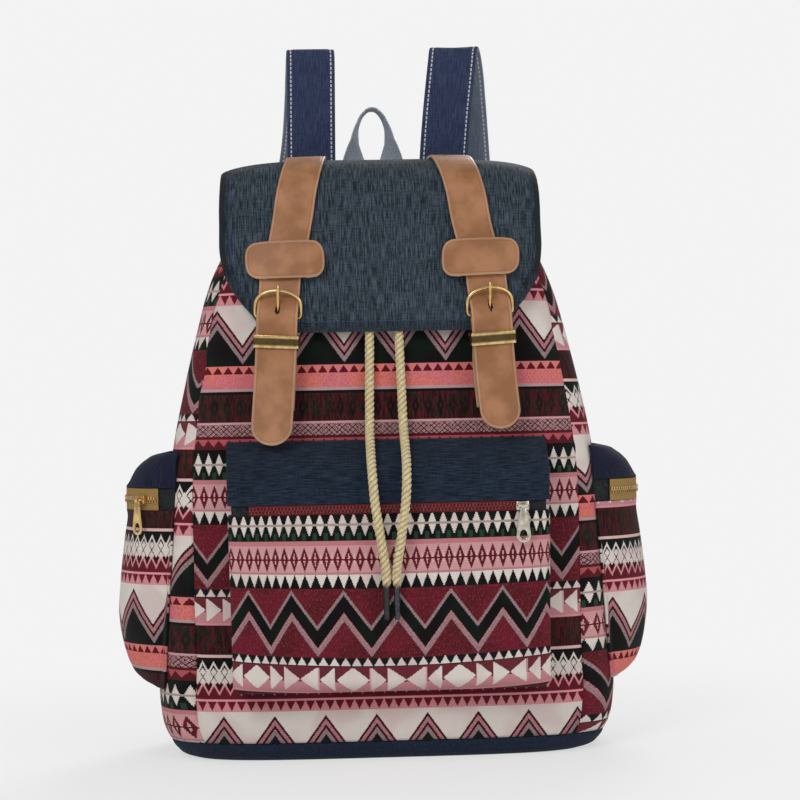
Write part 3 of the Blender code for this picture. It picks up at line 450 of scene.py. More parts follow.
class Finish:
    """A material under way: its tree, its shader and the coordinates of the piece."""

    def __init__(self, name, roughness, metallic=0.0):
        self.material = bpy.data.materials.new(name)
        self.material.use_nodes = True
        self.tree = self.material.node_tree
        self.shader = self.tree.nodes["Principled BSDF"]
        self.set(self.shader, {"Metallic": metallic, "Roughness": roughness})
        self.place = self.node("TexCoord").outputs["Object"]

    def set(self, node, values):
        """Feeds a node's inputs: with numbers or sockets by a link, with plain values as such."""
        for name, value in values.items():
            value = value.socket if isinstance(value, Number) else value
            if isinstance(value, bpy.types.NodeSocket):
                self.tree.links.new(value, node.inputs[name])
            else:
                node.inputs[name].default_value = shade(value) if isinstance(value, str) else value

    def node(self, kind, values=None, **settings):
        made = self.tree.nodes.new("ShaderNode" + kind)
        for name, value in settings.items():
            setattr(made, name, value)
        self.set(made, values or {})
        return made

    def on_cloth(self):
        """Millimetres across and up the cloth, from the piece's own map."""
        parts = self.node("SeparateXYZ", {0: self.node("UVMap", uv_map="pattern").outputs[0]})
        return [Number(self.tree, socket) * 1000 for socket in parts.outputs[:2]]

    def in_place(self):
        """Millimetres along x, y and z."""
        parts = self.node("SeparateXYZ", {0: self.place})
        return [Number(self.tree, socket) * 1000 for socket in parts.outputs]

    def point(self, x, y, z=0.0):
        return self.node("CombineXYZ", {0: x, 1: y, 2: z}).outputs[0]

    def spot(self):
        return self.point(*self.in_place())

    def number(self, name):
        return Number(self.tree, self.node("Attribute", attribute_name=name).outputs["Fac"])

    def cloudy(self, source, scale=1.0, detail=2.0, rough=0.5):
        """Noise of about 0 to 1, on points in the unit that scale takes to the grain's size."""
        values = {"Scale": scale, "Detail": detail, "Roughness": rough, "Vector": source}
        return Number(self.tree, self.node("TexNoise", values).outputs[0])

    def cells(self, source, scale=1.0):
        node = self.node("TexVoronoi", {"Scale": scale, "Vector": source})
        return Number(self.tree, node.outputs["Distance"])

    def blend(self, share, first, second):
        """first where share is 0 and second where it is 1; colours are codes or sockets."""
        return self.node("Mix", data_type="RGBA", values={0: share, 6: first, 7: second}).outputs[2]

    def stripes(self, value, length, bands):
        """Plain bands of colour: each is (where it starts, code), up to length."""
        node = self.node("ValToRGB", {0: value * (1 / length)})
        node.color_ramp.interpolation = "CONSTANT"
        steps = node.color_ramp.elements
        while len(steps) < len(bands):
            steps.new(1.0)
        for step, (start, colour) in zip(steps, bands):
            step.position = start / length
            step.color = shade(colour)
        return node.outputs[0]

    def dim(self, colour, factor):
        """The colour made darker or lighter by a number."""
        return self.node("VectorMath", {0: colour, 3: factor}, operation="SCALE").outputs[0]

    def colour(self, socket):
        self.set(self.shader, {"Base Color": socket})
        return self

    def rough(self, value):
        self.set(self.shader, {"Roughness": value})

    def relief(self, height, depth, strength=1.0):
        """height is in millimetres times depth; the surface is pressed by it."""
        values = {"Strength": strength, "Distance": depth * MM, "Height": height}
        self.set(self.shader, {"Normal": self.node("Bump", values).outputs[0]})

    def sheen(self, weight, roughness=0.5):
        self.set(self.shader, {"Sheen Weight": weight, "Sheen Roughness": roughness})
        return self

    def gloss(self, level):
        self.set(self.shader, {"Specular IOR Level": level})
        return self


REPEAT = 277.7
ROWS = 34.8


def woven_bands():
    """The patterned cloth: bands of points, diamonds and zigzags, read down from the top of
    the pale zigzag band. Every figure steps by whole threads, as a loom makes it."""
    cloth = Finish("woven_bands", 0.86)
    across, down = cloth.on_cloth()
    warp = across.step(0.55)
    weft = down.work("WRAP", REPEAT, 0.0).step(0.5)
    small = warp.wave(7.2)
    points = warp.wave(6.7)
    lattice = warp.wave(7.5)
    broad = warp.wave(ROWS)
    broad_two = warp.wave(ROWS, 8.0)
    patch = cloth.cloudy(cloth.point(across, down), 0.035, 1.0)
    fleck = cloth.cloudy(cloth.point(warp * 1.6, weft * 0.5), 1.0, 2.0)
    streak = cloth.cloudy(cloth.point(warp * 0.55, weft * 0.06), 1.0, 1.0)

    black = cloth.blend(patch.eased(0.42, 0.60), "120d10", "0f1a13")
    pale = cloth.blend(patch.eased(0.45, 0.62), "e0d7cf", "d8c6c2")
    rose = cloth.blend(patch.eased(0.38, 0.62), "d3787e", "dd7c70")
    wine = cloth.blend(patch.eased(0.40, 0.60), "6a1c2b", "571a22")
    mauve = cloth.blend(fleck.eased(0.35, 0.65), "8b6f72", "a0888a")
    wine_flecked = cloth.blend(fleck.eased(0.52, 0.68), wine, "80303c")
    dusky = cloth.blend(fleck.eased(0.4, 0.6), "bb858b", "a3686f")

    plain = cloth.stripes(weft, REPEAT, (
        (0, "d9cfc6"), (42, "d3787e"), (57.4, "b7979a"), (59.4, "17100f"), (61.5, "2a0f12"),
        (81, "47191f"), (90, "571a22"), (99, "17171a"), (119, "c07a80"), (121.5, "cf9a9c"),
        (141, "17171a"), (150, "6a1c2b"), (193.6, "17171a"), (199.2, "6a2a33"), (208.6, "c4868c"),
        (216.6, "d98f97"), (218.6, "2a1215"), (238, "e2b9b6"), (240.6, "17171a"), (264.5, "6a1c2b"),
        (268, "e59aa4"), (270.3, "d58e94"),
    ))

    made = plain

    def paint(share, colour):
        nonlocal made
        made = cloth.blend(share, made, colour)

    def off(middle):
        return (weft - middle).size()

    # The pale zigzag band.
    inside = weft.within(0.0, 42.0)
    drop = weft - broad * 24.5 - 3.0
    paint(inside, pale)
    for depth, colour in (
        (0.0, "3a1217"), (2.6, dusky), (6.4, "37131a"), (9.0, mauve), (13.2, black),
    ):
        paint(inside * drop.over(depth), colour)
    paint(weft.within(40.9, 42.0), "1b1416")

    # Rose heather with a row of small dark points.
    paint(weft.within(42.0, 57.4), rose)
    paint(weft.within(47.5, 57.4) * fleck.over(0.53) * 0.45, "b2454f")
    tooth = weft.within(42.0, 47.4) * (weft - 42.4 - small * 5.2).over(0.0)
    paint(tooth, "5c141d")
    paint(tooth * small.over(0.86), rose)

    # Dark band with faint upright lozenges, and the lace line below it.
    night = cloth.blend(streak.eased(0.42, 0.58), "2b0f13", "571a22")
    night = cloth.blend(streak.wave(0.24).over(0.72), night, "1d281b")
    upright = warp.wave(8.6) + off(71.0) * 0.078
    dusk = cloth.blend(patch.eased(0.42, 0.60), "140f10", "182217")
    night = cloth.blend(upright.under(0.62) * 0.85, night, dusk)
    night = cloth.blend(upright.under(0.16) * 0.7, night, "571a22")
    paint(weft.within(61.5, 81.0), night)
    lace = (warp.wave(3.6) + weft.wave(3.4)).wave(1.0)
    paint(weft.within(81.6, 90.0) * (lace + fleck * 0.7).over(0.86), "b68e90")
    paint(weft.within(80.6, 81.8), "cf9aa0")
    tooth = weft - 92.5 - small * 4.6
    paint(weft.within(92.0, 98.0) * tooth.under(0.0), "b4535c")

    # Joined diamonds on black.
    mid = off(109.2)
    row = weft.within(99.0, 119.0)
    paint(row, black)
    paint(row * (small * 9.8 + mid).under(7.6) * mid.under(9.4), pale)
    paint(mid.under(0.6), "a89a90")
    paint(weft.within(114.5, 119.0) * small.over(0.62), "24402c")

    # Pink points above and below a row of wine lozenges.
    mid = off(131.3)
    row = weft.within(121.5, 141.0)
    paint(row * (mid + small.work("SUBTRACT", 1.0).size() * 9.8).under(8.2), wine)
    paint(row * (mid + warp.wave(3.6) * 9.0).under(4.2) * 0.8, "e3b4b4")
    paint(mid.under(0.55), "5c141d")
    paint(weft.within(139.6, 141.2), "b98186")

    # Pale teeth on black.
    row = weft.within(141.2, 150.0)
    paint(row, black)
    paint(row * ((weft - 141.2) * 0.112 + small).under(0.96), pale)

    # The broad zigzag.
    inside = weft.within(150.0, 193.6)
    drop = weft - broad_two * 22.8 - 151.0
    paint(inside, wine_flecked)
    for depth, colour in (
        (0.0, mauve), (3.0, black), (14.2, dusky), (16.6, mauve), (19.6, wine_flecked),
    ):
        paint(inside * drop.over(depth), colour)

    # Small pale teeth that stand on the arrows' row.
    paint(weft.within(193.6, 199.2) * (off(199.4) * 0.175 + small).under(0.98), pale)

    # Bow tie, arrow, diamond and arrow.
    along_row = warp.work("WRAP", 69.6, 0.0)
    half = off(208.0)
    bow = along_row.within(0.5, 25.0) * ((along_row - 12.75).size() * 0.66).over(half)
    arrow = along_row.within(26.4, 36.2) * ((along_row - 26.4) * 0.84).over(half)
    gem = along_row.within(37.0, 58.6) * ((along_row - 47.8).size() * 0.76 + half).under(8.2)
    spear = along_row.within(59.4, 69.4) * ((along_row - 69.4).size() * 0.82).over(half)
    row = weft.within(200.4, 215.6)
    paint(row * (bow + arrow + gem + spear).over(0.5), pale)
    paint(row * along_row.within(25.2, 26.2), "d9a0a4")
    paint(row * along_row.within(58.6, 59.4), "d9a0a4")

    # The second dark band, its pale line, and the lattice.
    paint(weft.within(218.6, 238.0), night)
    inside = weft.within(240.6, 268.0)
    lean = lattice * 7.0
    rows = weft - 240.6
    thread_colour = cloth.blend(rows.eased(15.0, 22.0), pale, "d98b92")
    paint(inside, cloth.blend(rows.over(12.0), black, "3a1016"))
    hearts = (
        ((rows - 13.0).size() + lattice.work("SUBTRACT", 1.0).size() * 6.0).under(5.4),
        ((rows - 9.6).size() + lattice * 5.0).under(2.8),
        ((rows - 16.6).size() + lattice * 5.0).under(3.0),
    )
    for figure in ((rows - lean).within(2.0, 4.6), *hearts, (rows - lean).within(16.4, 19.0)):
        paint(inside * figure, thread_colour)
    paint(inside * (rows - lean).over(19.0), wine)

    # Small hanging points on pink.
    tooth = weft - 270.6 + points * 7.0
    paint(weft.within(270.6, 277.0) * tooth.under(6.6), "6b1824")

    thread = (warp * 3.3).work("SINE")
    ribs = across.ribs(1.1) * down.ribs(1.0)
    wear = cloth.cloudy(cloth.place, 14.0, 3.0)
    level = ribs * 0.05 + fleck * 0.16 + wear * 0.12 + thread * 0.01 + 0.86
    cloth.colour(cloth.dim(made, level))
    cloth.relief(ribs + fleck * 0.6, 0.16, 0.75)
    cloth.sheen(0.05, 0.45)
    return cloth.gloss(0.12).material


def denim(name, deep, light, along_up=True, twill=0.25, mixed=0.55):
    """Indigo denim: pale slubs along the warp, a fine twill and a soft uneven dye."""
    cloth = Finish(name, 0.84)
    across, up = cloth.on_cloth()
    if not along_up:
        across, up = up, across
    slub = cloth.cloudy(cloth.point(across * 1.25, up * 0.085), 1.0, 3.0, 0.62)
    weft = cloth.cloudy(cloth.point(across * 0.10, up * 1.5), 1.0, 2.0, 0.55)
    rib = (across + up * 0.8).ribs(1.15)
    warp = across.ribs(0.62)
    dye = cloth.cloudy(cloth.place, 22.0, 2.0)
    grain = slub * 0.75 + weft * 0.25
    made = cloth.blend(grain.eased(0.38, 0.66) * mixed, deep, light)
    level = rib * 0.06 + warp * 0.05 + dye * 0.5 + 0.74
    made = cloth.dim(made, level)
    made = cloth.blend(cloth.number("edge").eased(1.6, 0.0) * 0.22, made, light)
    cloth.colour(made)
    cloth.relief(rib * twill + warp * 0.22 + slub * 1.3, 0.22, 0.8)
    cloth.sheen(0.04, 0.5)
    cloth.gloss(0.15)
    return cloth, made


def stitches(cloth, edge, inset, length=3.1, thick=0.42):
    """1 on a row of stitches this far inside the edge, from the piece's map."""
    row = (edge - inset).size().under(thick)
    return row * cloth.number("way").wave(length).under(0.66)


def flap_denim():
    """Blue-grey denim with a turned edge and one line of stitches: the band inside the stitches is
    darkened as painted shade towards the flap's edges, and its upper edges are bound in a darker
    tape.
    """
    cloth, made = denim("flap_denim", "141d26", "586570", mixed=0.72)
    edge = cloth.number("edge")
    across, up = cloth.on_cloth()
    # The band inside the stitches: darkened by a third as painted shade towards the flap's edges,
    # and raised in the relief.
    hem_shade = edge.under(7.4)
    made = cloth.dim(made, hem_shade * -0.34 + 1.0)
    bound = edge.under(4.2) * up.over(262.0)
    made = cloth.blend(bound * 0.8, made, "1d1f23")
    made = cloth.blend(stitches(cloth, edge, 7.2), made, "2c4562")
    cloth.colour(made)
    slub = cloth.cloudy(cloth.point(across * 1.25, up * 0.085), 1.0, 3.0, 0.62)
    rib = (across + up * 0.8).ribs(1.15)
    seam = (edge - 7.3).size().eased(1.3, 0.0)
    cloth.relief(rib * 0.25 + slub * 1.3 + hem_shade * 1.6 + bound * 1.5 + seam * -2.2, 0.22, 0.8)
    return cloth.material


def stitched_denim(name, deep, light):
    """The carrying straps' denim, with pale stitches inside both edges."""
    cloth, made = denim(name, deep, light, mixed=0.5)
    made = cloth.blend(stitches(cloth, cloth.number("edge"), 3.0, 3.3, 0.5), made, "c9c7c4")
    return cloth.colour(made).material


def plain_denim(name, deep, light, along_up=True):
    return denim(name, deep, light, along_up)[0].material


def tan_leather():
    """Smooth tan leather: fine pores, a cloudy tan, a darker crease line, and paler edges: partly
    the pressed edge's own tone, partly a painted highlight where the edge rounds over.
    """
    skin = Finish("tan_leather", 0.5)
    spot = skin.spot()
    clouds = skin.cloudy(spot, 0.055, 3.0)
    fibre = skin.cloudy(spot, 0.9, 4.0, 0.6)
    pores = skin.cells(spot, 2.3)
    edge = skin.number("edge")
    made = skin.blend(clouds.eased(0.35, 0.68), "8e5f3c", "a97753")
    made = skin.blend(fibre.eased(0.55, 0.8) * 0.35, made, "7d4f30")
    # Paler towards the cut edge: partly the pressed edge's own tone, partly a painted highlight
    # where the edge rounds over.
    made = skin.blend(edge.eased(2.6, 0.3) * 0.45, made, "c9a284")
    line = (edge - 1.9).size().eased(0.45, 0.1)
    made = skin.blend(line * 0.5, made, "8a5c3c")
    skin.colour(made)
    skin.rough(clouds * 0.16 + fibre * 0.14 + 0.36)
    skin.relief(pores * 0.5 + fibre * 0.7 + line * -1.4 + edge.eased(1.4, 0.0) * -0.8, 0.16, 0.7)
    skin.set(skin.shader, {"Coat Weight": 0.08, "Coat Roughness": 0.35})
    return skin.gloss(0.3).material


def cut_leather():
    """The pale cut edge of the straps, with its fibres."""
    skin = Finish("cut_leather", 0.75)
    fibre = skin.cloudy(skin.spot(), 2.2, 4.0, 0.65)
    skin.colour(skin.blend(fibre.eased(0.3, 0.7), "b48e72", "d9bfa6"))
    skin.relief(fibre, 0.18, 0.6)
    return skin.gloss(0.25).material


def gold_metal():
    """Pale gold plating, brushed a little and duller where fingers go."""
    plate = Finish("gold_metal", 0.24, 1.0)
    x, y, z = plate.in_place()
    haze = plate.cloudy(plate.point(x, y, z), 0.25, 3.0)
    brush = plate.cloudy(plate.point(x * 0.15, y * 2.0, z * 6.0), 1.0, 2.0)
    plate.colour(plate.blend(haze.eased(0.35, 0.7), "e2c188", "cfa866"))
    plate.rough(haze * 0.18 + brush * 0.08 + 0.13)
    plate.relief(brush, 0.02, 0.35)
    return plate.material


def keeper_metal():
    """The keepers' plating: bright rolled edges beside a smoked middle."""
    plate = Finish("keeper_metal", 0.2, 1.0)
    haze = plate.cloudy(plate.spot(), 0.35, 3.0)
    bright = plate.blend(haze.eased(0.35, 0.7), "e6c890", "c9a565")
    middle = plate.number("edge").eased(1.3, 2.6)
    plate.colour(plate.blend(middle * 0.88, bright, "2a1e14"))
    plate.rough(haze * 0.16 + 0.16)
    plate.relief(middle * -1.0 + haze * 0.1, 0.1, 0.5)
    return plate.material


def pale_metal():
    """The pocket pull's steel with a warm plating."""
    plate = Finish("pale_metal", 0.28, 1.0)
    haze = plate.cloudy(plate.spot(), 0.35, 3.0)
    plate.colour(plate.blend(haze.eased(0.35, 0.7), "d9d3c6", "b9b0a0"))
    plate.rough(haze * 0.2 + 0.16)
    plate.relief(haze, 0.03, 0.3)
    return plate.material


def smoked_metal():
    """The right cord end: dark metal that catches a thin light."""
    plate = Finish("smoked_metal", 0.3, 0.85)
    haze = plate.cloudy(plate.spot(), 0.6, 3.0)
    plate.colour(plate.blend(haze.eased(0.35, 0.7), "3a3b40", "55565c"))
    plate.rough(haze * 0.2 + 0.2)
    return plate.material


def nylon_coil():
    """The front pocket's dark red nylon teeth."""
    coil = Finish("nylon_coil", 0.4)
    grain = coil.cloudy(coil.spot(), 0.8, 2.0)
    coil.colour(coil.blend(grain.eased(0.3, 0.7), "5a171c", "8c3a3a"))
    coil.relief(grain, 0.05, 0.4)
    return coil.gloss(0.35).material


def zip_tape(name, deep, light):
    """A zip's woven tape: fine herringbone ribs."""
    cloth = Finish(name, 0.8)
    across, up = cloth.on_cloth()
    rib = (up + across.wave(2.2) * 0.9).ribs(0.8)
    fibre = cloth.cloudy(cloth.point(across, up * 1.4), 1.3, 2.0)
    cloth.colour(cloth.blend(rib * 0.25 + fibre * 0.6, deep, light))
    cloth.relief(rib + fibre, 0.12, 0.6)
    return cloth.gloss(0.25).material


def soft_rope():
    """Cream twisted rope: each strand has its own fine yarns, and the grooves between the strands
    are darkened as painted shade.
    """
    yarn = Finish("soft_rope", 0.78)
    across, up = yarn.on_cloth()
    strands = (across + up * 1.3).ribs(1.35)
    fuzz = yarn.cloudy(yarn.point(across * 1.2, up * 0.5), 1.0, 3.0)
    turn = yarn.cloudy(yarn.place, 60.0, 2.0)
    made = yarn.blend(fuzz.eased(0.3, 0.7), "d2bd86", "f0e2b8")
    made = yarn.blend(turn.eased(0.42, 0.62) * 0.3, made, "d9c193")
    # Painted shade: darker near the cord's middle, in the grooves between the strands.
    deep = yarn.number("groove").eased(3.0, 2.1)
    made = yarn.blend(deep * 0.75, made, "6e5730")
    yarn.colour(yarn.dim(made, strands * 0.07 + 0.95))
    yarn.relief(strands * 0.8 + fuzz, 0.2, 0.7)
    return yarn.sheen(0.25, 0.4).gloss(0.35).material


def grey_webbing():
    """Grey-blue strap webbing: plain ribs across with a firmer line at both edges."""
    cloth = Finish("grey_webbing", 0.74)
    across, up = cloth.on_cloth()
    rib = up.ribs(1.9)
    warp = across.ribs(1.25)
    fibre = cloth.cloudy(cloth.point(across * 0.8, up * 0.9), 1.0, 3.0)
    made = cloth.blend(fibre.eased(0.35, 0.68), "87919c", "b3bcc6")
    made = cloth.dim(made, rib * warp * 0.09 + 0.95)
    cloth.colour(made)
    cloth.relief(rib * warp + fibre * 0.6, 0.25, 0.8)
    return cloth.sheen(0.15, 0.4).gloss(0.35).material


def dark_plastic():
    """Moulded plastic for the adjusters and the cord's ends: satin, with fine moulding grain."""
    cast = Finish("dark_plastic", 0.42)
    spot = cast.spot()
    grain = cast.cloudy(spot, 3.2, 3.0, 0.6)
    rub = cast.cloudy(spot, 0.3, 2.0)
    cast.colour(cast.blend(rub.eased(0.45, 0.75), "17181b", "2c2e33"))
    cast.rough(grain * 0.16 + rub * 0.1 + 0.26)
    cast.relief(grain, 0.03, 0.5)
    return cast.material


def dark_binding():
    """The narrow dark tape that binds raw edges inside the seams."""
    cloth = Finish("dark_binding", 0.85)
    x, y, z = cloth.in_place()
    fibre = cloth.cloudy(cloth.point(x, y, z * 1.4), 0.9, 3.0)
    rib = (x + z).ribs(1.1)
    cloth.colour(cloth.blend(fibre.eased(0.35, 0.7), "1b1c1e", "34353a"))
    cloth.relief(rib + fibre, 0.14, 0.6)
    return cloth.gloss(0.2).material


WOVEN = woven_bands()
FLAP_DENIM = flap_denim()
BAND_DENIM = plain_denim("band_denim", "0f1824", "33445a", along_up=False)
CAP_DENIM = plain_denim("cap_denim", "12142a", "2b3049")
BASE_DENIM = plain_denim("base_denim", "151e2c", "31405a")
NAVY = stitched_denim("navy_denim", "252e4b", "4f5a78")
BACKING = stitched_denim("strap_backing", "636d7e", "8a93a2")
LEATHER = tan_leather()
LEATHER_EDGE = cut_leather()
GOLD = gold_metal()
STEEL = pale_metal()
KEEPER = keeper_metal()
GOLD_TAPE = zip_tape("gold_tape", "8d6f3e", "bb9a60")
RED_TAPE = zip_tape("red_tape", "5c1a20", "8a3a3c")
ROPE = soft_rope()
WEBBING = grey_webbing()
PLASTIC = dark_plastic()
STEEL_DARK = smoked_metal()
RED_COIL = nylon_coil()
BINDING = dark_binding()
YOKE_DENIM = plain_denim("yoke_denim", "1d2536", "3a4560")


# The body: four patterned panels over a denim base


def seam_dip(share, half, reach=5.0, depth=1.5):
    """How far a panel dips beside the seam at share = -1 and 1."""
    return depth * bump((1 - np.abs(share)) * half, 0, reach)


def panel_height(v):
    return PANEL_LOW + (PANEL_TOP - PANEL_LOW) * v


SEAM_GAP = 0.15
PATTERN_TOP = 35.5 + REPEAT * 2
# How far round the front's corners its panel reaches, as a share of the half width.
FRONT_SEAM = (
    (0, 0.841), (60, 0.841), (100, 0.855), (174, 0.885), (221, 0.897), (258, 0.907), (300, 0.915),
    (366, 0.92),
)


def sew_front_panel():
    def place(u, v):
        z = panel_height(v)
        share = 2 * u - 1
        half = along(FRONT_SEAM, z) * along(HALF_WIDTH, z) - SEAM_GAP
        x = share * half
        depth = front_depth(x, z) + fold(x, share, z) - seam_dip(share, half)
        lump = ripple(x, 0.0, z, 46) - 1.0
        depth = depth + 0.55 * lump * np.clip((z - 13) / 18, 0, 1)
        return np.stack([x, -depth, z], axis=-1)

    def lie(u, v):
        z = panel_height(v)
        x = (2 * u - 1) * (along(FRONT_SEAM, z) * along(HALF_WIDTH, z))
        return x + 44.9 + ROWS * 8, PATTERN_TOP - z

    sewn("front_cloth", 150, 190, place, lie, WOVEN, "front_panel", "woven_cloth", 1.9)


def sew_back_panel():
    def place(u, v):
        z = panel_height(v)
        share = 1 - 2 * u
        half = CORNER * along(HALF_WIDTH, z) - SEAM_GAP
        x = share * half
        depth = front_depth(x, z) - seam_dip(share, half)
        lump = ripple(x, 50, z, 60) - 1.0
        return np.stack([x, depth + 0.5 * lump, z], axis=-1)

    def lie(u, v):
        z = panel_height(v)
        x = (1 - 2 * u) * (CORNER * along(HALF_WIDTH, z))
        return ROWS * 8 + 9 - x, PATTERN_TOP - z

    sewn("back_cloth", 110, 150, place, lie, WOVEN, "back_panel", "woven_cloth", 1.9)


def sew_side_panel(word, side):
    high = 155.5 if side < 0 else 219.5

    def place(u, v):
        z = panel_height(v)
        share = side * (2 * u - 1)
        half = CORNER * along(HALF_DEPTH, z) - SEAM_GAP
        front_half = along(HALF_DEPTH, z) * rounded(along(FRONT_SEAM, z)) - SEAM_GAP
        y = -front_half + (front_half + half) * (share + 1) / 2
        width = side_width(y, z) + fold(y, share, z) - seam_dip(share, half)
        lump = ripple(y, 90 * side, z, 40) - 1.0
        return np.stack([side * (width + 0.55 * lump), y, z], axis=-1)

    def lie(u, v):
        z = panel_height(v)
        y = (2 * u - 1) * (CORNER * along(HALF_DEPTH, z))
        return y + ROWS * 8 + 5, high + REPEAT * 2 - z

    sewn(
        word + "_side_cloth", 70, 170, place, lie, WOVEN, word + "_side_panel", "woven_cloth", 1.9,
    )


def ring_point(turn):
    """Points of the body's section, 1 to each side, spaced evenly by turn from 0 to 1."""
    fine = np.linspace(0, 2 * np.pi, 4001)
    x = 150 * powered(np.cos(fine), 0.5)
    y = 70 * powered(np.sin(fine), 0.5)
    way = np.concatenate([[0], np.cumsum(np.hypot(np.diff(x), np.diff(y)))])
    angle = np.interp(np.mod(turn, 1) * way[-1], way, fine)
    return powered(np.cos(angle), 0.5), powered(np.sin(angle), 0.5)


def sew_base():
    """A denim tray: a flat underside, a soft turn and a low wall up to the panels."""
    def place(u, v):
        out = np.clip(v / 0.4, 0, 1)
        up = np.clip((v - 0.4) / 0.6, 0, 1)
        z = 13.0 * up ** 1.25
        wide = out * along(((0, 138), (2, 144), (6.5, 149.6), (13, 154)), z)
        deep = out * along(((0, 60), (2, 64.8), (6.5, 68.6), (13, 71)), z)
        x, y = ring_point(u)
        dip = 0.9 * bump(z, 13, 1.6)
        return np.stack([x * wide * (1 - dip / 150), y * deep * (1 - dip / 70), z], axis=-1)

    sewn(
        "denim_base", 260, 40, place, lambda u, v: (u * 810, v * 90), BASE_DENIM, "base_panel",
        "denim", 1.9, joined=True, edge=lambda u, v: 0 * u + 9,
    )


# Height, half width, half depth and the depth of the pleats.
CASING = (
    (366.3, 105, 54.5, 0.0), (379, 99, 50.5, 0.02), (391, 81, 41.5, 0.05), (400.5, 62, 32.5, 0.06),
)


def gather_casing():
    """The cloth above the panels, drawn together in pleats round the mouth."""
    heights, wide, deep, pleat = np.array(CASING).T

    def place(u, v):
        z = heights[0] + (heights[-1] - heights[0]) * v
        x, y = ring_point(u)
        wave = np.cos(u * 2 * np.pi * 12) + 0.25 * np.cos(u * 2 * np.pi * 36 + 1)
        scale = 1 + np.interp(z, heights, pleat) * wave * 0.8
        x = x * along(np.stack([heights, wide], axis=1), z) * scale
        y = y * along(np.stack([heights, deep], axis=1), z) * scale
        return np.stack([x, y, z], axis=-1)

    def lie(u, v):
        return u * ROWS * 19, PATTERN_TOP - heights[0] - v * 46

    sewn(
        "gathered_top", 340, 34, place, lie, WOVEN, "drawstring_casing", "woven_cloth", 1.7,
        joined=True,
    )


sew_front_panel()
sew_back_panel()
sew_side_panel("left", -1)
sew_side_panel("right", 1)
sew_base()
gather_casing()


# The flap


FLAP_WALL = 2.3
FLAP_LIFT = 10.3
FLAP_LOW = 293.0
FLAP_TURN = (
    (62.5, 354), (62.8, 372), (60.5, 390), (54, 403), (41, 412.5), (20, 416), (-5, 417),
    (-28, 415.5), (-45, 410), (-57.5, 399.5), (-63.2, 386),
)
FLAP_WIDTH = (
    (293, 66), (294.5, 76), (298, 83), (306, 90), (315, 97.5), (329, 106), (345, 110.5),
    (356, 112), (372, 112),
)
HANGING = np.append(np.arange(366, 300, -10.0), FLAP_LOW)
# Down the middle of the flap's outer side, from the back seam to the hem: y and z.
FLAP_POINTS = np.concatenate([
    FLAP_TURN, np.stack([-(along(HALF_DEPTH, HANGING) + FLAP_LIFT), HANGING], axis=1),
])
FLAP_WAY = lengths(FLAP_POINTS)
FLAP_END = float(FLAP_WAY[-1])


def flap_centre(s):
    return [along(np.stack([FLAP_WAY, FLAP_POINTS[:, k]], axis=1), s) for k in (0, 1)]


def flap_at(z):
    """How far along the flap its front reaches this height."""
    s = np.linspace(190, FLAP_END, 800)
    return float(np.interp(-z, -flap_centre(s)[1], s))


def flap_point(x, s, lift=0.0):
    """A point of the flap's outer side, raised by lift."""
    y, z = flap_centre(s)
    dy, dz = (b - a for a, b in zip(flap_centre(s - 0.05), flap_centre(s + 0.05)))
    length = np.hypot(dy, dz)
    front = np.clip((s - 130) / 60, 0, 1)
    back = np.clip((45 - s) / 45, 0, 1)
    wide = along(HALF_WIDTH, np.minimum(z, 352)) + FLAP_LIFT
    wide = np.where(z > 352, 111 + FLAP_LIFT - 2 * np.clip((z - 352) / 60, 0, 1), wide)
    deep = 30 + front * (along(HALF_DEPTH, np.minimum(z, 366)) + FLAP_LIFT - 30) + back * 31
    away = lift - deep * (1 - rounded(x / wide))
    return np.stack([x + 0 * s, y + away * dz / length, z - away * dy / length], axis=-1)


def flap_half(s):
    z = flap_centre(s)[1]
    way_top = np.clip((s - 110) / 80, 0, 1)
    back = 104 + 6 * np.clip(s / 70, 0, 1)
    return back + (along(FLAP_WIDTH, z) - back) * way_top


def outline_distance(x, s, outline):
    """How far points of a flat cut lie from its outline, in millimetres."""
    nearest = np.full(np.shape(x), 1e9)
    for a, b in zip(outline, np.roll(outline, -1, axis=0)):
        side = b - a
        share = ((x - a[0]) * side[0] + (s - a[1]) * side[1]) / max(side @ side, 1e-9)
        share = np.clip(share, 0, 1)
        away = np.hypot(x - a[0] - share * side[0], s - a[1] - share * side[1])
        nearest = np.minimum(nearest, away)
    return nearest


def both_rims(at, count):
    """The outline of a flat cut, down one side and back up the other."""
    down = np.linspace(0, 1, count)
    sides = [at(np.full(count, u), order) for u, order in ((0.0, down), (1.0, down[::-1]))]
    return np.concatenate([np.stack(side, axis=1) for side in sides])


def cut_flap():
    s_rows = np.linspace(0, FLAP_END, 400)
    half = flap_half(s_rows)
    outline = np.concatenate([
        np.stack([half, s_rows], axis=1), np.stack([-half[::-1], s_rows[::-1]], axis=1),
    ])
    outline[:, 1][outline[:, 1] < 0.1] = -30

    def at(u, v):
        s = FLAP_END * (1 - (1 - v) ** 1.12)
        share = np.sin((1 - 2 * u) * np.pi / 2 * 0.80) / math.sin(np.pi / 2 * 0.80)
        return share * flap_half(s), s

    def place(u, v):
        x, s = at(u, v)
        lift = 0.35 * (ripple(x, s, 0.0, 38) - 0.4)
        lift = lift - 0.5 * bump(outline_distance(x, s, outline), 0, 1.2)
        return flap_point(x, s, lift)

    def lie(u, v):
        x, s = at(u, v)
        return x + 200, 500 - s

    def edge(u, v):
        return outline_distance(*at(u, v), outline)

    def way(u, v):
        x, s = at(u, v)
        return np.where(FLAP_END - s < 9, x, s)

    mesh = woven_sheet("denim_flap", 150, 210, place, lie, edge=edge, way=way)
    made = piece("denim_flap", mesh, FLAP_DENIM, "bag", "flap")
    thicken(made, FLAP_WALL)
    settle(made)


cut_flap()


# The rope


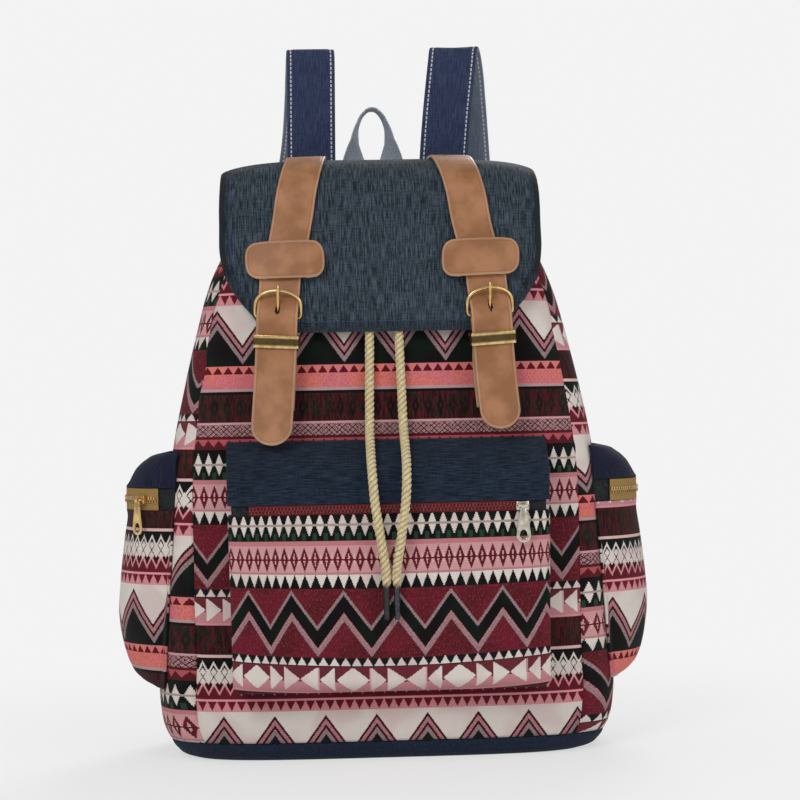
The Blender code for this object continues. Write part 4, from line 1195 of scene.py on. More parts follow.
CORD_WAY = (
    (373.4, 58.7), (363, 59.6), (350, 62.5), (334, 65.8), (316, 68.3), (298, 70.2),
    (282, 71.6), (264, 73.4), (247, 75.2), (235, 77.2), (226, 81.2), (219, 88.2), (212, 96.6),
    (205, 104.6), (198, 110.2), (189, 113.4), (176, 114.4), (162, 114.2), (150, 113.3),
    (140, 111.5), (131, 110.1), (122, 109.9),
)
CORD_SWAY = (
    (122, 2.2), (132, 3.0), (142, 5.0), (160, 7.6), (176, 10.0), (200, 11.6), (240, 11.2),
    (300, 10.0), (345, 10.6), (374, 11),
)
CORD_TIP = (
    (0.0, 1.8), (0.9, 2.15), (1.5, 2.2), (2.2, 2.05), (19.5, 1.95), (21.0, 1.7), (21.7, 1.2),
    (22.0, 0.5),
)
CORD = 6.3
STRAND = 1.66
TWIST = 11.5


def cord_way(side):
    way = np.array(CORD_WAY)
    sway = np.maximum(along(CORD_SWAY, way[:, 0]), CORD / 2 + 0.35)
    return np.stack([side * sway, -way[:, 1], way[:, 0]], axis=1)


def twist_cord(word, side):
    """Three strands laid round each other, from the eyelet down to a dark tip."""
    middle = smooth_path(cord_way(side), 0.9)
    ahead = unit(np.gradient(middle, axis=0))
    beside = unit(np.cross(ahead, (0.0, 1.0, 0.05)))
    before = np.cross(ahead, beside)
    way = lengths(middle)
    turn = way * 2 * np.pi / TWIST
    close = 1.0 - 0.18 * bump(way, 0, 2.0) - 0.45 * bump(way, way[-1], 2.2)
    strands = []
    for k in range(3):
        angle = (turn + k * 2 * np.pi / 3)[:, None]
        round_it = np.cos(angle) * beside + np.sin(angle) * before
        strands.append(middle + 1.62 * close[:, None] * round_it)
    name = "cord_rope_" + word
    radii = 1.0 - 0.25 * bump(way, way[-1], 2.0)
    made = wire(
        name, np.array(strands), STRAND, ROPE, "bag", "cord_" + word, sides=3, radii=radii,
    )
    mesh = made.data
    points = np.array([v.co for v in mesh.vertices]) / MM - (0, BACK_SHIFT, 0)
    every = np.concatenate(strands)
    nearest = np.concatenate([
        np.linalg.norm(points[k:k + 1000, None] - every[None], axis=2).argmin(axis=1)
        for k in range(0, len(points), 1000)
    ])
    at = nearest % len(middle)
    away = points - every[nearest]
    angle = np.arctan2(np.sum(away * before[at], axis=1), np.sum(away * beside[at], axis=1))
    write_pattern(mesh, angle * STRAND, way[at])
    write_number(mesh, "groove", np.linalg.norm(points - middle[at], axis=1))
    down, radius = np.array(CORD_TIP).T
    tip = wire(
        "cord_end_" + word, [middle[-1] - (0, 0, 0.3 + k) for k in down], radius.max(),
        PLASTIC if side < 0 else STEEL_DARK, "bag", "cord_tip_" + word,
        radii=radius / radius.max(),
    )


for word, side in SIDES:
    twist_cord(word, side)


# Leather


TAB_START = 47.0
OBLONG_HIGH = 355.0
OBLONG_LOW = 329.5
OBLONG_HALF = 27.0
OBLONG_ROUND = 12.2
OBLONG_LIFT = 4.72
TAB_HALF = 13.8
HIDE = 2.5
HIDES = (LEATHER, LEATHER_EDGE)


def pressed_edge(edge, turned=0.35):
    """How much lower leather lies at its cut edge, and in the line creased beside it."""
    return turned * bump(edge, 0, 0.8) + 0.12 * bump(edge, 1.9, 0.5)


def tab_centre(s):
    z = flap_centre(s)[1]
    table = (
        (302, 71), (329, 69), (342, 67), (356, 64), (372, 61), (390, 58), (404, 54.5), (412, 52),
        (417, 50.5),
    )
    return np.where(s > 120, along(table, z), 50.0)


def cut_flap_tab(word, side):
    """The strap over the flap, and the rounded oblong that crosses its end."""
    high = flap_at(OBLONG_HIGH)
    low = flap_at(OBLONG_LOW)
    mid = (high + low) / 2

    def strap_at(u, v):
        return (1 - 2 * u) * TAB_HALF, TAB_START + (high + 8 - TAB_START) * v

    def strap_place(u, v):
        across, s = strap_at(u, v)
        crown = HIDE - pressed_edge(TAB_HALF - np.abs(across), 0.30)
        under_oblong = 0.4 + 1.75 * np.clip((s - high + 13) / 12, 0, 1)
        return flap_point(side * tab_centre(s) + across, s, under_oblong + crown - 0.02)

    def strap_lie(u, v):
        across, s = strap_at(u, v)
        return across + 50, 300 - s

    def strap_edge(u, v):
        across, s = strap_at(u, v)
        return np.minimum(TAB_HALF - np.abs(across), s - TAB_START)

    sewn(
        "flap_strap_" + word, 30, 150, strap_place, strap_lie, HIDES, "flap_tab_" + word, "leather",
        HIDE - 0.25, rim=1, edge=strap_edge,
    )

    def oblong_at(u, v):
        tight = np.maximum(1 - np.abs(2 * v - 1) ** 2.8, 0) ** (1 / 2.8)
        half = OBLONG_HALF - OBLONG_ROUND * (1 - tight)
        return (1 - 2 * u) * half, mid + (v - 0.5) * (low - high)

    outline = both_rims(oblong_at, 41)

    def oblong_place(u, v):
        across, s = oblong_at(u, v)
        edge = outline_distance(across, s, outline)
        crown = HIDE - pressed_edge(edge)
        centre = side * tab_centre(np.full(np.shape(s), mid))
        lean = side * -0.05 * (mid - s)
        tilt = 0.05 * across * (side > 0)
        return flap_point(centre + across - lean, s - tilt, OBLONG_LIFT + crown)

    def oblong_lie(u, v):
        across, s = oblong_at(u, v)
        return across + 150, 300 - s

    def oblong_edge(u, v):
        return outline_distance(*oblong_at(u, v), outline)

    sewn(
        "flap_oblong_" + word, 64, 44, oblong_place, oblong_lie, HIDES, "flap_tab_" + word,
        "leather", HIDE, rim=1, edge=oblong_edge,
    )


BUCKLE_OUT = 71.0
BUCKLE_HIGH = 302.0
HEEL_LIFT = 14.2
ROD = 1.5
STRAP_HALF = 14.0
STRAP_TOP = 43.0
HOLE_UP = 5.6
TAB_WIDE = 13.2


def buckle_axes(side):
    """Where the heel bar's middle is over the bag, then across, up the strap and outward."""
    x = side * BUCKLE_OUT

    def surface(right, up):
        z = BUCKLE_HIGH + up
        return np.array((x + right, -float(front_depth(x + right, z)), z))

    over = unit(surface(0.5, 0) - surface(-0.5, 0))
    upward = unit(surface(-side * 0.035, 0.5) - surface(side * 0.035, -0.5))
    outward = unit(np.cross(over, upward))
    return surface(0, 0), np.cross(upward, outward), upward, outward


def in_buckle(side):
    """Places at the buckle: across, up the strap and out of the bag."""
    return frame_at(*buckle_axes(side))


def cut_away(mesh, side, inside):
    """Takes out the faces whose middles are inside, in the buckle's own measures."""
    origin, *axes = buckle_axes(side)
    with reshaped(mesh) as shape:
        cut = []
        for face in shape.faces:
            spot = np.array(face.calc_center_median()) / MM - (0, BACK_SHIFT, 0) - origin
            if inside(*(spot @ axis for axis in axes)):
                cut.append(face)
        bmesh.ops.delete(shape, geom=cut, context="FACES")


STRAP_LIFT = (
    (-90, 18.2), (-80, 16.4), (-60, 14.0), (-40, 13.0), (-30, 13.3), (-19, 14.6), (-10, 16.5),
    (-4, 17.8), (0, 18.1), (4, 17.6), (8, 15.9), (13, 13.4), (19, 11.8), (27, 11.1), (36, 10.5),
    (50, 8.9),
)


def cut_buckle_strap(word, side, tip):
    """The strap from under the oblong, through the buckle and its keeper, to a round tip."""
    place_at = in_buckle(side)

    def at(u, v):
        down = np.sin((1 - v) * np.pi / 2 * 0.98) / math.sin(np.pi / 2 * 0.98)
        t = STRAP_TOP + (tip - STRAP_TOP) * down
        reach = np.clip((tip + STRAP_HALF - t) / STRAP_HALF, 0, 0.9999)
        return (2 * u - 1) * STRAP_HALF * np.sqrt(1 - reach ** 2.3), t

    outline = both_rims(at, 160)
    outline[:, 1][outline[:, 1] > STRAP_TOP - 0.1] = 90

    def place(u, v):
        across, t = at(u, v)
        edge = outline_distance(across, t, outline)
        crown = HIDE - pressed_edge(edge)
        pressed = 0.5 * bump(t, HOLE_UP, 3.0) * bump(across, 0, 3.0)
        return place_at(across, t, along(STRAP_LIFT, t) + crown - pressed)

    def lie(u, v):
        across, t = at(u, v)
        return across + 250, t + 200

    def edge(u, v):
        return outline_distance(*at(u, v), outline)

    name = "strap_through_buckle_" + word
    mesh = woven_sheet(name, 36, 170, place, lie, edge=edge)
    # The hole for the prong.
    cut_away(mesh, side, lambda p, t, w: (p / 1.5) ** 2 + ((t - HOLE_UP) / 4.6) ** 2 < 1)
    strap = piece(name, mesh, HIDES, "bag", "buckle_strap_" + word)
    thicken(strap, HIDE, rim=1)


def fold_buckle_tab(word, side):
    """The leather tab that wraps the buckle's heel bar and is sewn to the bag below."""
    place_at = in_buckle(side)
    half_thick = 0.7
    bend = ROD + 0.35 + half_thick
    path = [(-8.2, HEEL_LIFT + 0.95), (-5.2, HEEL_LIFT + 1.0), (-3.2, HEEL_LIFT + 1.5)]
    for turn in np.linspace(140, -140, 9):
        turn = math.radians(turn)
        path.append((bend * math.cos(turn), HEEL_LIFT + bend * math.sin(turn)))
    path += [(-3.4, HEEL_LIFT - 1.5), (-5.4, HEEL_LIFT - 0.95), (-9.4, HEEL_LIFT - 1.2)]
    path += [(-14.5, 11.0), (-20, 8.8), (-27, 5.0), (-35, 2.4), (-46, 2.0), (-62, 2.7)]
    fine = smooth_path(np.array([(0, a, b) for a, b in path]), 1.0)[:, 1:]
    ahead = unit(np.gradient(fine, axis=0))
    normal = np.stack([-ahead[:, 1], ahead[:, 0]], axis=1)

    def place(u, v):
        k = np.clip(np.round(v * (len(fine) - 1)).astype(int), 0, len(fine) - 1)
        line = fine[k] + half_thick * normal[k]
        return place_at((2 * u - 1) * TAB_WIDE, line[:, 0], line[:, 1])

    name = "bar_tab_" + word
    mesh = woven_sheet(
        name, 22, len(fine) - 1, place, lambda u, v: ((2 * u - 1) * TAB_WIDE + 350, v * 100),
        edge=lambda u, v: TAB_WIDE - np.abs(2 * u - 1) * TAB_WIDE,
    )
    # The slot for the prong's sleeve.
    cut_away(mesh, side, lambda p, t, w: abs(p) < 2.7 and abs(t - 0.9) < 4.4 and w > HEEL_LIFT - 6)
    tab = piece(name, mesh, HIDES, "bag", "buckle_tab_" + word)
    thicken(tab, 2 * half_thick, rim=1)


def bend_buckle_frame(word, side):
    place_at = in_buckle(side)
    half = 15.5
    path = [(p, 0.0) for p in (-13.6, -7, 0, 7, 13.6)]
    path += [(half - 1.0, 0.35), (half - 0.25, 1.2), (half, 2.6), (half, 5.5), (half, 8.5)]
    for turn in np.linspace(10, 170, 25):
        turn = math.radians(turn)
        path.append((half * math.cos(turn), 8.5 + 9.0 * math.sin(turn)))
    path += [(-half, 8.5), (-half, 5.5), (-half, 2.6), (0.25 - half, 1.2), (1.0 - half, 0.35)]
    path = np.array(path)
    points = place_at(path[:, 0], path[:, 1], HEEL_LIFT + 0.34 * path[:, 1])
    wire(
        "buckle_hoop_" + word, points, 1.15, GOLD, word + "_buckle", "buckle_frame_" + word,
        closed=True, sides=6,
    )


def plate_with_hole(
    name, outer, inner, thick, place_at, finish, body, replaces, soft=0.3, bands=0,
):
    """A flat plate from two outlines with as many points, its edges eased over."""
    outer = np.asarray(outer, float)
    inner = np.asarray(inner, float)
    count = len(outer)
    shape = bmesh.new()
    rings = []
    for outline in (outer, inner):
        ring = bmesh.ops.create_circle(shape, segments=count, radius=1.0)["verts"]
        for vertex, point in zip(ring, outline):
            vertex.co = (point[0], point[1], 0)
        rings.append(ring)
    bmesh.ops.bridge_loops(shape, edges=shape.edges[:])
    grown = bmesh.ops.extrude_face_region(shape, geom=shape.faces[:])
    moved = [g for g in grown["geom"] if isinstance(g, bmesh.types.BMVert)]
    bmesh.ops.translate(shape, verts=moved, vec=(0, 0, thick))
    bmesh.ops.recalc_face_normals(shape, faces=shape.faces)
    if bands:
        walls = [e for e in shape.edges if abs(e.verts[0].co.z - e.verts[1].co.z) > thick / 2]
        bmesh.ops.subdivide_edges(shape, edges=walls, cuts=bands)
    sharp = [e for e in shape.edges if e.is_manifold and e.calc_face_angle() > 0.8]
    bmesh.ops.bevel(
        shape, geom=sharp, offset=soft, segments=2, profile=0.5, affect="EDGES", material=-1,
    )
    mesh = bpy.data.meshes.new(name)
    shape.to_mesh(mesh)
    shape.free()
    flat = np.array([v.co for v in mesh.vertices])
    write_points(mesh, place_at(flat[:, 0], flat[:, 1], flat[:, 2]))
    if bands:
        write_number(mesh, "edge", np.minimum(flat[:, 2], thick - flat[:, 2]))
    with reshaped(mesh) as shape:
        bmesh.ops.recalc_face_normals(shape, faces=shape.faces)
    return piece(name, mesh, finish, body, replaces)


def rounded_box(half_u, half_v, radius, steps=6):
    points = []
    for corner, (cu, cv) in enumerate(((1, 1), (-1, 1), (-1, -1), (1, -1))):
        for k in range(steps + 1):
            turn = (corner + k / steps) * np.pi / 2
            points.append((
                cu * (half_u - radius) + radius * math.cos(turn),
                cv * (half_v - radius) + radius * math.sin(turn),
            ))
    return np.array(points)


def circle(radius, sides):
    turn = np.arange(sides) * 2 * np.pi / sides
    return np.stack([radius * np.cos(turn), radius * np.sin(turn)], axis=1)


def fit_prong(word, side):
    """A sleeve on the heel bar and a pin through the strap that rests on the hoop."""
    place_at = in_buckle(side)
    plate_with_hole(
        "prong_sleeve_" + word, circle(2.95, 28), circle(ROD + 0.3, 28), 3.8,
        lambda a, b, d: place_at(d - 1.9, a, HEEL_LIFT + b), GOLD, word + "_prong",
        "buckle_prong_" + word, soft=0.25,
    )
    path = smooth_path((
        (0, 2.35, 1.05), (0, 6, 3.1), (0, 11, 5.85), (0, 15.5, 8.6), (0, 18.4, 10.0),
        (0, 20.6, 10.2),
    ), 0.9)
    points = place_at(0, path[:, 1], HEEL_LIFT + path[:, 2])
    share = np.linspace(0, 1, len(points))
    radii = 1.0 - 0.3 * np.clip((share - 0.75) / 0.25, 0, 1) ** 2
    radii[-1] = 0.35
    wire(
        "prong_pin_" + word, points, 1.1, GOLD, word + "_prong", "buckle_prong_" + word,
        radii=radii, sides=5,
    )


def fit_keeper(word, side):
    """The flat metal band round the strap and the tab."""
    place_at = in_buckle(side)

    def tilted(a, b, d):
        d = d - 4.3
        return place_at(a, -16.3 + d - 0.19 * b, 13.2 + b + 0.19 * d)

    plate_with_hole(
        "keeper_band_" + word, rounded_box(15.6, 6.35, 1.6), rounded_box(14.5, 5.25, 0.7), 8.6,
        tilted, KEEPER, "bag", "strap_keeper_" + word, soft=0.28, bands=7,
    )


for word, side in SIDES:
    cut_flap_tab(word, side)
    cut_buckle_strap(word, side, -87.5 if side < 0 else -79.0)
    fold_buckle_tab(word, side)
    bend_buckle_frame(word, side)
    fit_prong(word, side)
    fit_keeper(word, side)


# Zips: tape, single teeth, slider and pull


TOOTH = 1.15
SIDE_CENTRE = 133.0
SIDE_ROUND = 50.0
SIDE_ZIP_ROUND = 48.8
SIDE_ZIP_HIGH = 180.0
SLIDER_TOP = 2.65
PULL_BAR = SLIDER_TOP + 3.6


def tooth_shape(shape, spot, ahead, outward, side, long):
    """One tooth: a small tapered block whose head reaches across the zip's middle."""
    made = bmesh.ops.create_cube(shape, size=1.0)["verts"]
    for vertex in made:
        a, b, c = vertex.co
        taper = 0.72 if c * side < 0 else 1.0
        place = spot + ahead * (a * long * taper) + outward * (b * 1.5 * taper)
        place = place + UP * (c * 2.5 + side * 0.95)
        vertex.co = (place + (0, BACK_SHIFT, 0)) * MM


def lay_zip(name, way, outward_at, low, high, middle, tape, node, tooth_finish):
    """way is the zip's line and outward_at its outward side, both in the tables' millimetres."""
    ahead = unit(np.gradient(way, axis=0))
    length = lengths(way)
    many = len(way) - 1
    span = high - low

    def place(u, v):
        at = np.clip(np.round(u * many).astype(int), 0, many)
        up = low + span * v - middle
        bulge = 0.25 * bump(np.abs(up), 2.6, 0.7)
        return way[at] + outward_at[at] * (0.9 + bulge)[:, None] + up[:, None] * UP

    def lie(u, v):
        return u * length[-1], span * v

    sewn(name + "_tape", many, 16, place, lie, tape, node, "zip_tape", 0.85)
    shape = bmesh.new()
    count = int(length[-1] / (TOOTH * 2))
    for k in range(count):
        for side in (1, -1):
            at = (k + (0.25 if side > 0 else 0.75)) * TOOTH * 2
            spot, head, out = (
                np.array([np.interp(at, length, table[:, n]) for n in range(3)])
                for table in (way, ahead, outward_at)
            )
            tooth_shape(shape, spot + unit(out) * 1.4, unit(head), unit(out), side, TOOTH * 0.98)
    mesh = bpy.data.meshes.new(name + "_teeth")
    bmesh.ops.recalc_face_normals(shape, faces=shape.faces)
    shape.to_mesh(mesh)
    shape.free()
    teeth = piece(name + "_teeth", mesh, tooth_finish, "bag", node)
    for face in teeth.data.polygons:
        face.use_smooth = False


def fit_slider(name, place_at, finish, body, node):
    """A domed slider body with flared shoulders, and the bridge that holds the pull."""
    shape = bmesh.new()
    bmesh.ops.create_cube(shape, size=1.0)
    bmesh.ops.subdivide_edges(shape, edges=shape.edges[:], cuts=5, use_grid_fill=True)
    for vertex in shape.verts:
        a, b, c = vertex.co * 2
        waist = 1 - 0.16 * (1 - abs(a)) - 0.10 * max(0.0, -a) ** 2
        dome = 0.55 * (1 - a * a) * (1 - 0.5 * c * c)
        deep = 2.9 + (0.95 + dome) * b if b > 0 else 2.9 + 1.55 * b
        vertex.co = (4.4 * a * (1 - 0.10 * c * c), deep, 3.2 * c * waist)
    edges = [e for e in shape.edges if e.calc_face_angle(0) > 0.9]
    bmesh.ops.bevel(
        shape, geom=edges, offset=0.22, segments=2, profile=0.5, affect="EDGES", material=-1,
    )
    mesh = bpy.data.meshes.new(name)
    bmesh.ops.recalc_face_normals(shape, faces=shape.faces)
    flat = np.array([v.co for v in shape.verts])
    shape.to_mesh(mesh)
    shape.free()
    write_points(mesh, place_at(*flat.T))
    with reshaped(mesh) as shape:
        bmesh.ops.recalc_face_normals(shape, faces=shape.faces)
    piece(name, mesh, finish, body, node)
    top = SLIDER_TOP
    bar = PULL_BAR
    path = smooth_path([
        (-3.4, top + 0.9, 0), (-3.4, bar - 0.9, 0), (-3.1, bar - 0.25, 0), (-2.4, bar, 0),
        (2.4, bar, 0), (3.1, bar - 0.25, 0), (3.4, bar - 0.9, 0), (3.4, top + 0.9, 0),
    ], 0.4)
    wire(
        name + "_bridge", place_at(path[:, 0], path[:, 1], 0), 0.65, finish, body, node,
        sides=4,
    )


def hang_pull(name, place_at, finish, body, node):
    """A tongue that widens to a round end with an oval hole, on an eye round the bar."""
    bar = PULL_BAR
    plate_with_hole(
        name + "_eye", circle(1.75, 24), circle(0.95, 24), 3.0,
        lambda a, b, d: place_at(d - 1.5, bar + a, b), finish, body, node, soft=0.2,
    )
    low = -24.5 + 4.9
    turn = np.linspace(0, np.pi, 19)
    flank = ((2.0, -1.35), (2.3, -2.8), (2.75, -5.0), (3.4, -8.5), (4.3, -14.0))
    outline = [(-a, b) for a, b in flank]
    outline += [(-4.9 * math.cos(k), low - 4.9 * math.sin(k)) for k in turn]
    outline += flank[::-1]
    shoulder = ((0.2, 3.7), (0.9, 3.5), (1.6, 2.9), (2.1, 2.1), (2.4, 1.0))
    inner = [(-a, low + b) for a, b in shoulder]
    inner += [(-2.5 * math.cos(k), low - 2.6 * math.sin(k)) for k in turn]
    inner += [(a, low + b) for a, b in shoulder[::-1]]
    plate_with_hole(
        name, outline, inner, 1.1, lambda a, b, d: place_at(a, bar - 0.55 + d, b),
        finish, body, node, soft=0.28,
    )


POCKET_FACE = 104.0
FRONT_ZIP_Y = -POCKET_FACE + 1.6
FRONT_ZIP_HIGH = 173.7
RIGHT = np.array((1.0, 0, 0))
FORWARD = np.array((0, -1.0, 0))
front_line = np.linspace((-94, FRONT_ZIP_Y, FRONT_ZIP_HIGH), (94, FRONT_ZIP_Y, FRONT_ZIP_HIGH), 189)
lay_zip(
    "pocket_zip", front_line, np.tile(FORWARD, (189, 1)), 170.3, 177.0, FRONT_ZIP_HIGH, RED_TAPE,
    "pocket_zip", RED_COIL,
)
front_place = frame_at(np.array((89.0, FRONT_ZIP_Y, FRONT_ZIP_HIGH)), RIGHT, FORWARD, UP)
fit_slider("pocket_slider_body", front_place, STEEL, "front_slider", "pocket_slider")
hang_pull("pocket_pull_tongue", front_place, STEEL, "front_pull", "pocket_pull")

for word, side in SIDES:
    centre = np.array((side * SIDE_CENTRE, 0, SIDE_ZIP_HIGH))
    turn = np.radians(np.linspace(-60, 60, 100)) * side
    outward = np.stack([side * np.cos(turn), np.sin(turn), 0 * turn], axis=1)
    lay_zip(
        f"{word}_side_zip", centre + SIDE_ZIP_ROUND * outward, outward, 172.6, 187.7, SIDE_ZIP_HIGH,
        GOLD_TAPE, f"side_zip_{word}", GOLD,
    )
    angle = math.radians(side * 44.0)
    out = np.array((side * math.cos(angle), math.sin(angle), 0))
    ahead = np.array((-side * math.sin(angle), math.cos(angle), 0)) * side
    place_at = frame_at(centre + SIDE_ZIP_ROUND * out, ahead, out, UP)
    fit_slider(f"{word}_slider_body", place_at, GOLD, f"{word}_slider", f"side_slider_{word}")
    hang_pull(f"{word}_pull_tongue", place_at, GOLD, f"{word}_pull", f"side_pull_{word}")


# The front pocket


POCKET_HALF = 109.0


def pocket_plan():
    """Half of the pocket's plan from its side to its middle: x, and the share of its depth."""
    corner = np.radians(np.linspace(0, 90, 13))
    round_x = 91 + 18 * np.cos(corner)
    round_share = 0.80 + 0.20 * np.sin(corner) ** 0.9
    flat_x = np.linspace(91, 0, 44)[1:]
    rise = np.linspace(0, 0.80, 14)[:-1]
    x = np.concatenate([np.full(13, POCKET_HALF), round_x, flat_x])
    share = np.concatenate([rise, round_share, np.ones(43)])
    return np.stack([x, share], axis=1)


HALF_PLAN = pocket_plan()
PLAN = np.concatenate([HALF_PLAN * (-1, 1), HALF_PLAN[::-1][1:]])


def pocket_point(column, z, sink=0.0):
    foot = np.clip((62 - z) / 13, 0, 1)
    head = np.clip((z - 196) / 23.5, 0, 1)
    deep = (1 - foot**2.6) ** (1 / 2.6) * (1 - head**1.6)
    narrow = 1 - 0.02 * np.clip((219.5 - z) / 150, 0, 1) - 0.04 * np.clip((58 - z) / 9, 0, 1) ** 2
    x = PLAN[column, 0] * narrow
    share = PLAN[column, 1] * deep
    wall = front_depth(x, z) + fold(x, x / (CORNER * along(HALF_WIDTH, z)), z) + 0.3 + 1.8
    full = np.maximum(POCKET_FACE - wall, 0)
    flat = np.clip((np.abs(PLAN[column, 1]) - 0.8) / 0.2, 0, 1)
    return np.stack([x, -(wall + full * share) + sink * flat, z], axis=-1)


# Where the zigzag's points sit across the pocket: the cloth is pulled round its sides.
ZIGZAG_PLACES = (
    (-109.0, -3.42), (-96.6, -3.0), (-67.7, -2.0), (-32.4, -1.0), (4.4, 0.0), (40.5, 1.0),
    (75.8, 2.0), (106.1, 3.0), (109.0, 3.12),
)


def sew_pocket(name, low, high, rows, finish, node, slot, lie_up, under=0.0, thick=1.75):
    columns = len(PLAN) - 1

    def at(u, v):
        return np.clip(np.round(u * columns).astype(int), 0, columns), low + (high - low) * v

    def place(u, v):
        column, z = at(u, v)
        x = PLAN[column, 0]
        lump = ripple(x, 30, z, 36) + 1.0
        rim = bump(z, low, 3.0) + bump(z, high, 3.0)
        sink = 0.5 * lump * (1 - np.clip(rim, 0, 1)) * (under == 0)
        spot = pocket_point(column, z, sink + under)
        return spot * (1 - under / POCKET_HALF, 1, 1)

    def lie(u, v):
        column, z = at(u, v)
        x = PLAN[column, 0]
        wrap = np.sign(x) * (1 - np.clip(PLAN[column, 1] / 0.8, 0, 1)) * 26
        droop = 6.5 * (1 - (x / POCKET_HALF) ** 2) * np.clip((172 - z) / 120, 0, 1)
        return along(ZIGZAG_PLACES, x) * ROWS + 8.0 + wrap + ROWS * 8, lie_up(z) - droop

    def edge(u, v):
        z = at(u, v)[1]
        return np.minimum(z - low, high - z)

    sewn(name, columns, rows, place, lie, finish, node, slot, thick, edge=edge)


sew_pocket(
    "pocket_cloth", 49.0, 170.0, 110, WOVEN, "pocket_panel", "woven_cloth",
    lambda z: 273.2 + REPEAT - z,
)
sew_pocket(
    "pocket_zip_facing", 168.6, 178.8, 8, BINDING, "pocket_zip", "zip_tape", lambda z: z, 2.5, 0.7,
)
sew_pocket("pocket_denim", 177.3, 219.5, 44, BAND_DENIM, "pocket_band", "denim", lambda z: z)


# The side pockets


SIDE_REACH = (
    (49.5, 0.06), (51.5, 0.42), (55, 0.72), (63, 1.0), (72, 1.14), (84, 1.24), (100, 1.3),
    (120, 1.236), (150, 1.09), (166, 1.0), (189, 1.0),
)
CAP_REACH = (
    (188, 1.0), (191, 0.95), (196, 0.87), (202, 0.74), (207, 0.55), (210.5, 0.33), (212.3, 0.06),
)


def sew_side_pocket(
    name, side, low, high, rows, reach_table, finish, node, slot, lie_up, under=0.0, thick=1.75,
):
    def at(u, v):
        turn = np.radians(-76 + 152 * u) * side
        return turn, low + (high - low) * v

    def place(u, v):
        turn, z = at(u, v)
        y = SIDE_ROUND * np.sin(turn)
        arc = SIDE_CENTRE + SIDE_ROUND * np.cos(turn)
        wall = side_width(y, z) + fold(y, y / (CORNER * along(HALF_DEPTH, z)), z) + 2.1
        full = np.maximum(arc - wall, 0)
        x = wall + full * along(reach_table, z)
        lump = ripple(SIDE_ROUND * turn, 10 * side, z, 30) + 1.0
        rim = bump(z, low, 3.0) + bump(z, high, 3.0)
        lump = lump * (1 - np.clip(rim, 0, 1)) * np.clip(full / 10, 0, 1)
        x = np.maximum(x - 0.7 * lump * (under == 0) - under * np.cos(turn), wall - 1.0)
        return np.stack([side * x, y * (1 - under / SIDE_ROUND), z], axis=-1)

    def lie(u, v):
        turn, z = at(u, v)
        return np.degrees(turn) * side * 0.9 + ROWS * 8 + (3 if side < 0 else 20), lie_up(z)

    def edge(u, v):
        z = at(u, v)[1]
        return np.minimum(z - low, high - z)

    sewn(name, 90, rows, place, lie, finish, node, slot, thick, edge=edge)


for word, side in SIDES:
    top = 121.0 if side < 0 else 108.7
    sew_side_pocket(
        f"{word}_pocket_cloth", side, 49.5, 172.3, 100, SIDE_REACH, WOVEN, f"side_pocket_{word}",
        "woven_cloth", lambda z, top=top: top + REPEAT - z,
    )
    sew_side_pocket(
        f"{word}_zip_facing", side, 170.8, 190.0, 8, ((160, 1.0), (200, 1.0)), BINDING,
        f"side_zip_{word}", "zip_tape", lambda z: z, 2.3, 0.7,
    )
    sew_side_pocket(
        f"{word}_pocket_cap", side, 188.3, 212.3, 30, CAP_REACH, CAP_DENIM, f"side_cap_{word}",
        "denim", lambda z: z,
    )


# Eyelets


for word, side in SIDES:
    place_at = frame_at(
        np.array((side * 10.9, -54.7, 370.6)), RIGHT, unit(np.array((0.0, 0.1, 1.0))),
        unit(np.array((0.0, -1.0, 0.1))),
    )
    plate_with_hole(
        f"{word}_eyelet_ring", circle(5.4, 40), circle(3.4, 40), 0.7, place_at,
        GOLD, "bag", f"eyelet_{word}", soft=0.25,
    )


# Carrying straps


def strap_section(half, thick, u, swell):
    """Place on a padded strap's outline for u from 0 to 1: (across, outward)."""
    sine = np.sin(u * 2 * np.pi)
    across = half * powered(np.cos(u * 2 * np.pi), 0.22)
    body = thick / 2 * powered(sine, 0.34)
    return across, body + swell * np.sign(sine) * (1 - (across / half) ** 2)


